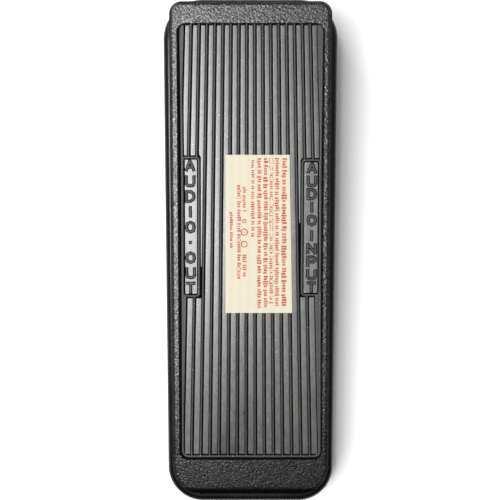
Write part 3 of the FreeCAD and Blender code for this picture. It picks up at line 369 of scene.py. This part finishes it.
def case_paint():
    """Smooth gloss black with a little orange peel and fine scuffs along its length."""
    peel_height = 0.00003
    n = Nodes("case_paint")
    peel = n.noise(520.0, detail=2.0)
    slow = n.noise(28.0, detail=3.0)
    scuff = n.ramp(n.noise(260.0, detail=6.0, rough=0.75, stretch=(1, 0.25, 1)), 0.66, 0.74)
    body = n.mix(n.ramp(slow, 0.35, 0.7), (0.0016, 0.0016, 0.0017), (0.0028, 0.0028, 0.0030))
    n.color(n.mix(scuff, body, (0.012, 0.012, 0.0125)))
    n.roughness(n.ramp(slow, 0.3, 0.7, 0.19, 0.28))
    n.bump(peel, peel_height)
    n.set(Specular_IOR_Level=0.3)
    return n.mat


def tread_rubber():
    """Black rubber: glossy floors in patchy tones, coloured lighter than the plainer ridge tops, and
    sides painted near-black as painted shade.
    """
    n = Nodes("tread_rubber")
    level = n.split(n.coords)["Z"]
    fine = n.noise(1.4, detail=3.0)
    slow = n.noise(0.05, detail=4.0, rough=0.6, stretch=(1, 0.35, 1))
    streak = n.noise(0.9, detail=4.0, rough=0.7, stretch=(1, 0.3, 1))
    dusty = n.ramp(n.plus(slow, streak), 0.8, 1.25)
    floor_tone = n.mix(dusty, (0.022, 0.022, 0.020), (0.066, 0.066, 0.061))
    top = n.mix(dusty, grey(0.010), (0.024, 0.024, 0.023))
    on_floor = n.times(
        n.ramp(level, FLOOR + 0.03, FLOOR + 0.10, 1.0, 0.0),
        n.ramp(level, FLOOR - 0.10, FLOOR - 0.02, 0.0, 1.0),
    )
    on_top = n.ramp(level, RIDGE - 0.30, RIDGE - 0.12)
    dust = n.ramp(n.noise(1.3, detail=1.0), 0.69, 0.77, 0.0, 0.7)
    # painted shade: everything between the floor level and the ridge tops, the sides of floors, ridges
    # and strokes, is coloured near-black with little reflection
    raised = n.mix(on_floor, n.mix(on_top, grey(0.0015), top), floor_tone)
    dust_here = n.times(dust, n.maths("MAXIMUM", on_floor, on_top))
    n.color(n.mix(dust_here, raised, (0.26, 0.26, 0.25)))
    n.roughness(n.plus(n.ramp(on_floor, 0, 1, 0.50, 0.29), n.ramp(slow, 0.3, 0.7, -0.03, 0.05)))
    n.specular(n.ramp(n.plus(n.times(on_top, 0.6), on_floor), 0.0, 1.0, 0.04, 0.72))
    n.bump(fine, 0.00003, 0.6)
    return n.mat


def label_paper():
    """Cream paper, a little yellowed in patches."""
    n = Nodes("label_paper")
    fibre = n.noise(2.2, detail=5.0, rough=0.7, stretch=(1, 0.4, 1))
    cloud = n.noise(0.06, detail=3.0)
    base = n.mix(n.ramp(fibre, 0.3, 0.7), (0.47, 0.435, 0.345), (0.53, 0.485, 0.385))
    n.color(n.mix(n.ramp(cloud, 0.35, 0.7, 0.0, 0.5), base, (0.49, 0.475, 0.345)))
    n.roughness(n.ramp(fibre, 0.3, 0.7, 0.7, 0.8))
    n.set(Specular_IOR_Level=0.15)
    n.bump(fibre, 0.00001, 0.4)
    return n.mat


def label_ink():
    """Red ink that has faded unevenly."""
    n = Nodes("label_ink")
    fade = n.noise(0.35, detail=4.0, rough=0.7)
    n.color(n.mix(n.ramp(fade, 0.4, 0.62), (0.37, 0.055, 0.045), (0.44, 0.16, 0.12)))
    n.roughness(n.ramp(fade, 0.3, 0.7, 0.7, 0.8))
    n.set(Specular_IOR_Level=0.15)
    return n.mat


def floor_card():
    """Pale card that glows far from the object, so that it stays white out to the horizon."""
    glow_from = 0.6
    glow_full = 1.6
    n = Nodes("floor_card")
    tone = n.noise(3.0, detail=3.0)
    n.color(n.mix(n.ramp(tone, 0.3, 0.7), grey(0.86), grey(0.88)))
    n.set(Roughness=0.7, Emission_Color=(1.0, 1.0, 1.0, 1))
    reach = n.add("ShaderNodeVectorMath", operation="LENGTH")
    n.link(n.coords, reach.inputs[0])
    glow = n.ramp(reach.outputs["Value"], glow_from, glow_full, 0.0, 0.95)
    n.link(glow, n.bsdf.inputs["Emission Strength"])
    return n.mat


def plain_finish(name, dark, light, rough, grain, relief, patch=60.0, stretch=(1, 1, 1), **sockets):
    """A finish with fine grain, slow patches of shade and uneven gloss."""
    n = Nodes(name)
    fine = n.noise(grain, stretch=stretch)
    slow = n.noise(patch, detail=2.0)
    n.color(n.mix(n.ramp(n.plus(fine, slow), 0.75, 1.25), dark, light))
    n.roughness(n.ramp(slow, 0.3, 0.7, *rough))
    n.bump(fine, relief)
    n.set(**sockets)
    return n.mat


# name, dark and light colour, roughness from and to, scale of the grain, its height in metres
PLAIN_FINISHES = (
    ("foot_rubber", grey(0.010), (0.022, 0.022, 0.021), (0.62, 0.8), 1400.0, 0.00006),
    ("stop_rubber", grey(0.016), (0.030, 0.030, 0.029), (0.6, 0.78), 1500.0, 0.00006),
    ("plate_steel", (0.020, 0.020, 0.021), (0.034, 0.034, 0.035), (0.36, 0.5), 900.0, 0.00003),
    ("black_plastic", (0.010, 0.010, 0.011), (0.018, 0.018, 0.019), (0.36, 0.5), 1100.0, 0.00003),
    ("nylon", (0.60, 0.58, 0.52), (0.72, 0.70, 0.64), (0.38, 0.5), 900.0, 0.00002),
    ("board", (0.020, 0.10, 0.045), (0.035, 0.15, 0.065), (0.3, 0.42), 400.0, 0.00002),
    ("film_plastic", (0.30, 0.075, 0.020), (0.40, 0.10, 0.030), (0.3, 0.42), 700.0, 0.00002),
    ("can_sleeve", (0.012, 0.022, 0.060), (0.020, 0.034, 0.085), (0.24, 0.36), 600.0, 0.00001),
    ("resistor_body", (0.42, 0.30, 0.16), (0.52, 0.38, 0.22), (0.34, 0.46), 900.0, 0.00002),
    ("cell_wrap", (0.030, 0.032, 0.036), (0.050, 0.052, 0.058), (0.22, 0.34), 300.0, 0.00001),
    ("foam", (0.035, 0.035, 0.036), (0.085, 0.085, 0.086), (0.85, 0.95), 1600.0, 0.0003),
)
METAL_FINISHES = (
    ("zinc", (0.42, 0.43, 0.45), (0.62, 0.62, 0.63), (0.26, 0.42), 700.0, 0.00001),
    ("nickel", (0.58, 0.56, 0.52), (0.72, 0.70, 0.66), (0.14, 0.28), 500.0, 0.000008),
    ("lug_tin", grey(0.52), (0.68, 0.68, 0.67), (0.28, 0.44), 900.0, 0.00001),
)

MATERIALS = {
    "treadle_paint": treadle_paint(),
    "case_paint": case_paint(),
    "tread_rubber": tread_rubber(),
    # painted shade: near-black, barely reflecting rubber for the web at the grooves' bottoms and for the
    # dark round the letters
    "rubber_painted_shade": plain_finish(
        "rubber_painted_shade", grey(0.0012), grey(0.0024), (0.85, 0.95), 2.0, 0.00003,
        patch=0.1, Specular_IOR_Level=0.03,
    ),
    "rod_steel": plain_finish(
        "rod_steel", (0.40, 0.40, 0.41), (0.56, 0.56, 0.57), (0.2, 0.34), 900.0, 0.00001,
        stretch=(0.1, 1, 1), Metallic=1.0,
    ),
    "label_paper": label_paper(),
    "label_ink": label_ink(),
    "floor_card": floor_card(),
}
for plain in PLAIN_FINISHES:
    MATERIALS[plain[0]] = plain_finish(*plain)
for metal in METAL_FINISHES:
    MATERIALS[metal[0]] = plain_finish(*metal, Metallic=1.0)

# ---------------------------------------------------------------- the ribbed tread
MAT_TOE = 106.0
MAT_HEEL = -102.7
MAT_CORNER = 3.4
# half the tread's width at a few places along it, and how far it stands off to the input side
SIDE = [(MAT_HEEL, 33.95), (-25.0, 33.6), (40.0, 33.45), (100.0, 33.8), (MAT_TOE, 33.8)]
LEAN = 0.2
# the web covers the treadle's sunk bed
BED_SIDE = 34.5
BED_TOE = 106.0
BED_HEEL = -103.8
BED_CORNER = 3.8
FLOOR_TOE = 105.5
# each panel's frame: heel edge, toe edge and inner side, for the output side and the input side
PANELS = {
    -1: (-23.4, 44.0, [(-23.4, 24.5), (44.0, 24.2)]),
    1: (-22.95, 42.8, [(-22.95, 23.95), (42.8, 24.05)]),
}
RIB_HALF = 0.40
RIB_FOOT = 0.08
RIM = 1.0
HEEL_INSIDE = MAT_HEEL + RIM
CORNER_STEPS = 7
OUTLINE_STEP = 14
# the rim's first and last points on the tread's outline, one in each toe corner
RIM_FIRST = CORNER_STEPS + 4
RIM_LAST = CORNER_STEPS - 1
# how far ridges run into the rim and into the panels' frames
INTO_RIM = 0.2
INTO_FRAME = 0.3
# floors end this far from the heel rim and a frame's toe edge, and from a frame's heel edge
FLOOR_GAP = 0.35
FLOOR_GAP_HEEL = 0.55
# the grooves on the input side and the output side of each ridge
CUT_RIGHT = 0.62
CUT_LEFT = 0.32
NARROWEST_FLOOR = 0.5
# letters: width of the space a stroke takes, half widths of the stroke and of the painted shade round it
STROKE = 0.9
STROKE_HALF = 0.42
SHADE_RING_HALF = 0.80
# word, x, y of its first letter, step to the next, and a letter's width and height
WORDS = (
    ("AUDIO.OUT", -29.0, 39.7, 7.35, 4.6, 5.5),
    ("AUDIO", 29.1, 38.6, 6.25, 4.5, 5.2),
    ("INPUT", 29.1, 6.2, 6.25, 4.5, 5.2),
)
# each letter's strokes in a box of 1 by 1
STROKES = {
    "A": [[(0, 0), (0.5, 1), (1, 0)], [(0.2, 0.36), (0.8, 0.36)]],
    "U": [[(0, 1), (0, 0.28), (0.16, 0.05), (0.5, 0), (0.84, 0.05), (1, 0.28), (1, 1)]],
    "D": [[(0, 0), (0, 1), (0.55, 1), (0.9, 0.8), (1, 0.5), (0.9, 0.2), (0.55, 0), (0, 0)]],
    "I": [[(0.5, 0), (0.5, 1)]],
    "O": [[
        (0.5, 0), (0.12, 0.14), (0, 0.5), (0.12, 0.86), (0.5, 1),
        (0.88, 0.86), (1, 0.5), (0.88, 0.14), (0.5, 0),
    ]],
    "T": [[(0.5, 0), (0.5, 1)], [(0, 1), (1, 1)]],
    "N": [[(0, 0), (0, 1), (1, 0), (1, 1)]],
    "P": [[(0, 0), (0, 1), (0.7, 1), (1, 0.86), (1, 0.62), (0.7, 0.46), (0, 0.46)]],
    ".": [[(0.42, 0.5), (0.58, 0.5)]],
}


def pitch(y):
    """Distance between ridges, which fan out towards the heel."""
    return 3.73 + (104.95 - y) * 0.00351


def rib_x(k, y):
    """Middle of ridge k, which is k + 1/2 pitches from the board's middle."""
    return (k + 0.5) * pitch(y) - MAT_SHIFT


def on_side(s, k):
    """Number of ridge k on the input side (s = 1), or of its mirror image (s = -1)."""
    return k if s > 0 else -k - 1


def span(y0, y1, step=9.0):
    """Evenly spaced values from y0 to y1, about a step apart."""
    n = max(2, int(abs(y1 - y0) / step) + 1)
    return [lerp(y0, y1, i / (n - 1)) for i in range(n)]


def side_x(s, y):
    """The tread's edge on the output side (s = -1) or the input side (s = 1)."""
    return s * along(SIDE, y) + LEAN


def rim_x(s, y):
    """The inner edge of the rim on side s."""
    return side_x(s, y) - s * RIM


def mat_outline(inset):
    """The tread's outline drawn in by an inset, anticlockwise, with points every so often."""
    half = 10
    r = MAT_CORNER - inset
    corners = round_box(-half, MAT_HEEL + inset, half, MAT_TOE - inset, r, CORNER_STEPS)
    out = []
    for i, (x, y) in enumerate(corners):
        s = 1 if x > 0 else -1
        out.append((side_x(s, y) - s * inset + (x - s * half), y))
        ny = corners[(i + 1) % len(corners)][1]
        parts = int(abs(ny - y) / OUTLINE_STEP)
        for j in range(1, parts + 1):
            yy = lerp(y, ny, j / (parts + 1))
            out.append((side_x(s, yy) - s * inset, yy))
    return out


def ridge(bm, k, y0, y1):
    spine = [(rib_x(k, y), y) for y in span(y0, y1)]
    bar(bm, spine, RIB_HALF, ROOT, RIDGE, edge=0.26, foot=RIB_FOOT)


def margin_strip(bm, s, k, y0, y1):
    """The strip outside the last ridge, which narrows until it meets the rim."""
    ys = span(y0, y1, 5.0)
    near = [min(abs(rib_x(on_side(s, k), y)) - RIB_HALF, abs(rim_x(s, y)) - 0.02) for y in ys]
    far = [abs(rim_x(s, y)) + 0.3 for y in ys]
    spine = [(s * (a + b) / 2, y) for a, b, y in zip(near, far, ys)]
    wide = [(i / (len(ys) - 1), (b - a) / 2) for i, (a, b) in enumerate(zip(near, far))]
    bar(bm, spine, lambda t: along(wide, t), ROOT, RIDGE - 0.02, edge=0.2, foot=0.1)


def floor_edges(k, y):
    """Both edges of floor k, which lies between ridges k - 1 and k."""
    left = rib_x(k - 1, y) + RIB_HALF + CUT_RIGHT
    right = rib_x(k, y) - RIB_HALF - CUT_LEFT
    return max(left, rim_x(-1, y) + 0.45), min(right, rim_x(1, y) - 0.3)


def edges_beside_frame(s, y):
    """Both edges of the sixth floor on side s, which squeezes in beside the panel's frame."""
    _, top, inner_side = PANELS[s]
    left, right = floor_edges(6 * s, y)
    if y > top + 0.6:
        return left, right
    if s < 0:
        return max(left, -along(inner_side, y) + 0.35), right
    return left, min(right, along(inner_side, y) - 0.3)


def floor_strip(bm, edges, y0, y1, step=9.0):
    """One flat floor with rounded ends. edges gives its left and right edge at y."""
    rows = [(y, *edges(y)) for y in span(y0, y1, step)]
    rows = [(y, left, right) for y, left, right in rows if right - left > NARROWEST_FLOOR]
    if len(rows) < 2:
        return
    spine = [((left + right) / 2, y) for y, left, right in rows]
    wide = [(i / (len(rows) - 1), (right - left) / 2) for i, (_, left, right) in enumerate(rows)]
    bar(bm, spine, lambda t: along(wide, t), ROOT, FLOOR, edge=0.14, ends=0.35)


def panel_outline(s, wide, inset, corner, steps, past_frame, past_rim):
    """A rounded outline that fills the panel on side s, between its inner side and the rim."""
    low, top, inner_side = PANELS[s]
    out = []
    for x, y in round_box(0.0, low + inset, wide, top - inset, corner, steps):
        a = along(inner_side, y) + past_frame
        b = abs(rim_x(s, y)) + past_rim
        out.append((s * lerp(a, b, x / wide), y))
    if s < 0:
        out.reverse()
    return out


def write(bm, word, x, y, step, wide, tall):
    """Upright raised letters, one under another towards the heel, each stroke in a near-black surround of
    painted shade.
    """
    for i, letter in enumerate(word):
        cy = y - i * step
        for stroke in STROKES[letter]:
            pts = [(x + (u - 0.5) * (wide - STROKE), cy + (v - 0.5) * (tall - STROKE)) for u, v in stroke]
            for a, b in zip(pts, pts[1:]):
                d = (Vector(b) - Vector(a)).normalized()
                line = [Vector(a) - d * 0.3, Vector(b) + d * 0.3]
                bar(bm, line, STROKE_HALF, BED + 0.4, RIDGE - 0.05, edge=0.22, ends=0.22)
                # painted shade: a wider near-black sheet round the stroke, just above the floor
                line = [Vector(a) - d * 0.7, Vector(b) + d * 0.7]
                bar(bm, line, SHADE_RING_HALF, BED + 0.4, FLOOR + 0.03, edge=0.02, ends=0.4, mat=1)


def make_tread():
    bm = bmesh.new()
    # painted shade: the web, seen at the bottoms of the grooves and round the tread, is coloured
    # near-black
    web = round_box(-BED_SIDE - MAT_SHIFT, BED_HEEL, BED_SIDE - MAT_SHIFT, BED_TOE, BED_CORNER, 6)
    plank(bm, web, BED, DEEP, edge=0.05, mat=1)
    # the rim runs round the heel and the sides and stops in the toe corners, past which the
    # ridges end free
    outline = mat_outline(RIM / 2)
    bar(bm, outline[RIM_FIRST:] + outline[:RIM_LAST], RIM / 2, BED + 0.1, RIDGE, edge=0.28)

    # ridges that run the whole length, and those that stop at the frames
    for k in range(-6, 6):
        ridge(bm, k, HEEL_INSIDE - INTO_RIM, MAT_TOE)
    for s, (low, top, _) in PANELS.items():
        for k in (6, 7):
            ridge(bm, on_side(s, k), top - INTO_FRAME, MAT_TOE)
        ridge(bm, on_side(s, 6), HEEL_INSIDE - INTO_RIM, low + INTO_FRAME)
    for s, (low, top, _) in PANELS.items():
        margin_strip(bm, s, 8, top - INTO_FRAME, MAT_TOE - 0.8)
        margin_strip(bm, s, 7, HEEL_INSIDE - INTO_RIM, low + INTO_FRAME)

    # floors between the ridges
    for k in range(-5, 6):
        floor_strip(bm, partial(floor_edges, k), HEEL_INSIDE + FLOOR_GAP, FLOOR_TOE)
    for s, (low, top, _) in PANELS.items():
        for k in (7, 8):
            floor_strip(bm, partial(floor_edges, s * k), top + FLOOR_GAP, FLOOR_TOE)
        for k in (6, 7):
            edges = partial(floor_edges, s * k)
            floor_strip(bm, edges, HEEL_INSIDE + FLOOR_GAP, low - FLOOR_GAP_HEEL)
        floor_strip(bm, partial(edges_beside_frame, s), -12.0, FLOOR_TOE, step=1.5)

    # the two framed panels, with raised words
    for s in PANELS:
        frame_line = panel_outline(s, 9.0, 0.5, 1.4, 4, 0.5, 0.25)
        pane = panel_outline(s, 7.0, 1.45, 0.5, 3, 1.42, -0.75)
        hoop(bm, frame_line, 0.46, ROOT, RIDGE, edge=0.28, foot=RIB_FOOT)
        plank(bm, pane, ROOT, FLOOR, edge=0.14)
    for word in WORDS:
        write(bm, *word)
    return finish_mesh("tread_mat", bm, ON_MAT, MATERIALS["tread_rubber"], MATERIALS["rubber_painted_shade"])


tread = make_tread()
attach(tread, "treadle")
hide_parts("rubber_tread")

# ---------------------------------------------------------------- the paper label
LABEL_HEEL = -31.1
LABEL_TOE = 44.8
LABEL_LEFT = [(LABEL_HEEL, -12.25), (LABEL_TOE, -12.05)]
LABEL_RIGHT = [(LABEL_HEEL, 19.9), (LABEL_TOE, 18.35)]
LABEL_COLUMNS = 66
LABEL_ROWS = 30
PAPER = 0.10
SAG = 0.13

# rows of print: x, height, where it starts and stops, and how bold it is
PRINT_ROWS = (
    (15.75, 2.1, 43.3, -28.7, 0.75),
    (12.4, 1.8, 43.3, -28.7, 0.1),
    (9.65, 1.8, 43.3, -27.3, 0.1),
    (6.9, 1.9, 43.3, -28.7, 0.5),
    (3.85, 1.8, 43.3, -28.7, 0.35),
    (0.8, 1.5, 42.3, 5.2, 0.0),
    (-3.2, 1.6, 29.5, 17.0, 0.0),
    (-3.2, 1.6, -2.8, -14.6, 0.0),
    (-5.9, 1.7, 30.5, -15.1, 0.35),
    (-9.5, 1.3, 17.6, -0.6, 0.3),
)
# x, y and radius of the three rings
PRINT_RINGS = ((-3.2, 13.3, 0.8), (-3.2, 8.0, 1.5), (-3.2, 2.2, 1.4))
RING_STEPS = 20
PRINT_SEED = 7
DASH_GAP = 0.34
WORD_GAP = 0.75


def sag(x, y):
    """How far the paper dips between the ridges that it is stuck across."""
    p = pitch(y)
    return -SAG * math.sin(math.pi * ((x + MAT_SHIFT) / p - 0.5)) ** 2


def make_label():
    bm = bmesh.new()
    top = []
    under = []
    for i in range(LABEL_ROWS + 1):
        y = lerp(LABEL_HEEL, LABEL_TOE, i / LABEL_ROWS)
        left = along(LABEL_LEFT, y)
        right = along(LABEL_RIGHT, y)
        line_top = []
        line_low = []
        for j in range(LABEL_COLUMNS + 1):
            x = lerp(left, right, j / LABEL_COLUMNS)
            z = RIDGE + 0.03 + sag(x, y)
            line_top.append(bm.verts.new((x, y, z + PAPER)))
            line_low.append(bm.verts.new((x, y, z)))
        top.append(line_top)
        under.append(line_low)
    for i in range(LABEL_ROWS):
        t0, t1 = top[i], top[i + 1]
        u0, u1 = under[i], under[i + 1]
        for j in range(LABEL_COLUMNS):
            bm.faces.new((t0[j], t0[j + 1], t1[j + 1], t1[j])).smooth = True
            bm.faces.new((u0[j], u1[j], u1[j + 1], u0[j + 1])).smooth = True
    for i in range(LABEL_ROWS):
        t0, t1 = top[i], top[i + 1]
        u0, u1 = under[i], under[i + 1]
        bm.faces.new((t0[0], t1[0], u1[0], u0[0]))
        bm.faces.new((t0[-1], u0[-1], u1[-1], t1[-1]))
    for j in range(LABEL_COLUMNS):
        bm.faces.new((top[0][j], under[0][j], under[0][j + 1], top[0][j + 1]))
        bm.faces.new((top[-1][j], top[-1][j + 1], under[-1][j + 1], under[-1][j]))
    return finish_mesh("paper_label", bm, ON_MAT, MATERIALS["label_paper"])


def dash(bm, x0, x1, y0, y1):
    """A thin raised mark on the sagging paper."""
    z = RIDGE + 0.145
    corners = [(x, y, z + sag(x, y)) for x, y in ((x0, y0), (x1, y0), (x1, y1), (x0, y1))]
    loft(bm, [[(x, y, low + lift) for x, y, low in corners] for lift in (0.0, 0.02)])


def make_print():
    """Rows of plain red dashes and three rings, running from toe to heel down the label."""
    bm = bmesh.new()
    dice = random.Random(PRINT_SEED)
    for x, tall, y_toe, y_heel, bold in PRINT_ROWS:
        y = y_toe
        while y > y_heel + 1.0:
            for _ in range(dice.choice((2, 3, 4, 5, 6, 8))):
                wide = dice.uniform(0.55, 0.85) + bold * 0.3
                if y - wide < y_heel:
                    break
                lift = dice.choice((0.0, 0.0, 0.18, 0.3))
                drop = dice.choice((0.0, 0.0, 0.0, 0.2))
                dash(bm, x - tall * (0.38 + drop), x + tall * (0.38 + lift), y - wide, y)
                y -= wide + DASH_GAP
            y -= WORD_GAP
    for x, y, r in PRINT_RINGS:
        turns = [math.tau * i / RING_STEPS for i in range(RING_STEPS)]
        ring = [(x + r * math.cos(a), y + r * math.sin(a)) for a in turns]
        hoop(bm, ring, 0.25, RIDGE + 0.02, RIDGE + 0.16, edge=0.03)
    # a dot in the middle ring
    dash(bm, -3.5, -2.9, 7.7, 8.3)
    return finish_mesh("label_print", bm, ON_MAT, MATERIALS["label_ink"])


label = make_label()
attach(label, "treadle")
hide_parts("info_label")
printing = make_print()
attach(printing, "treadle")

# ---------------------------------------------------------------- finishes on the CAD pieces
for obj in NODES.values():
    for slot in obj.material_slots:
        key = slot.material.name.split(".")[0] if slot.material else ""
        if key in MATERIALS:
            slot.material = MATERIALS[key]

# ---------------------------------------------------------------- floor, light and camera
FLOOR_SIZE = 8.0
SKY_GAIN = 0.42
HORIZON_GLOW = 0.75
LAMP_AIM = (0, 0, 0.04)
LENS = 70.75
CAMERA_AT = (-0.0003, 0.0022, 0.525)

bpy.ops.mesh.primitive_plane_add(size=FLOOR_SIZE, location=(0, 0, 0))
floor = bpy.context.object
floor.name = "floor_card"
floor.data.materials.append(MATERIALS["floor_card"])


def sky_ramp(tree, value, low, high, to_low, to_high):
    """A smooth change from to_low to to_high while value goes from low to high."""
    node = tree.nodes.new("ShaderNodeMapRange")
    node.interpolation_type = "SMOOTHSTEP"
    limits = (("From Min", low), ("From Max", high), ("To Min", to_low), ("To Max", to_high))
    for key, v in limits:
        node.inputs[key].default_value = v
    tree.links.new(value, node.inputs["Value"])
    return node.outputs[0]


def sky_maths(tree, kind, a, b):
    node = tree.nodes.new("ShaderNodeMath")
    node.operation = kind
    tree.links.new(a, node.inputs[0])
    if isinstance(b, float):
        node.inputs[1].default_value = b
    else:
        tree.links.new(b, node.inputs[1])
    return node.outputs[0]


def make_sky(tree):
    """Even pale light, with a dark patch of ceiling over the heel end and a glow all round the
    horizon."""
    back = tree.nodes["Background"]
    place = tree.nodes.new("ShaderNodeTexCoord")
    split = tree.nodes.new("ShaderNodeSeparateXYZ")
    tree.links.new(place.outputs["Generated"], split.inputs[0])
    past_heel = sky_ramp(tree, split.outputs["Y"], -0.38, -0.12, 0.05, 1.0)
    low_down = sky_ramp(tree, split.outputs["Z"], 0.45, 0.15, 0.0, 1.0)
    even = sky_maths(tree, "MAXIMUM", past_heel, low_down)
    even = sky_maths(tree, "MULTIPLY", even, SKY_GAIN)
    glow = sky_ramp(tree, split.outputs["Z"], 0.16, 0.05, 0.0, HORIZON_GLOW)
    total = sky_maths(tree, "ADD", even, glow)
    tree.links.new(total, back.inputs["Strength"])
    back.inputs["Color"].default_value = (1.0, 1.0, 1.0, 1)


def softbox(name, at, size, power):
    lamp = bpy.data.lights.new(name, "AREA")
    lamp.shape = "RECTANGLE"
    lamp.size, lamp.size_y = size
    lamp.energy = power
    obj = bpy.data.objects.new(name, lamp)
    bpy.context.scene.collection.objects.link(obj)
    obj.location = at
    obj.rotation_euler = (Vector(LAMP_AIM) - Vector(at)).to_track_quat("-Z", "Y").to_euler()


world = bpy.data.worlds.new("studio")
bpy.context.scene.world = world
world.use_nodes = True
make_sky(world.node_tree)
softbox("key_box", (-0.27, -0.09, 1.05), (0.52, 0.45), 15.5)
softbox("toe_box", (-0.75, 0.75, 0.75), (0.6, 0.6), 6.0)

camera_data = bpy.data.cameras.new("camera")
camera_data.lens = LENS
camera_data.sensor_width = 36.0
camera_data.clip_start = 0.01
camera = bpy.data.objects.new("camera", camera_data)
bpy.context.scene.collection.objects.link(camera)
camera.location = CAMERA_AT
bpy.context.scene.camera = camera
bpy.context.scene.view_settings.view_transform = "Standard"
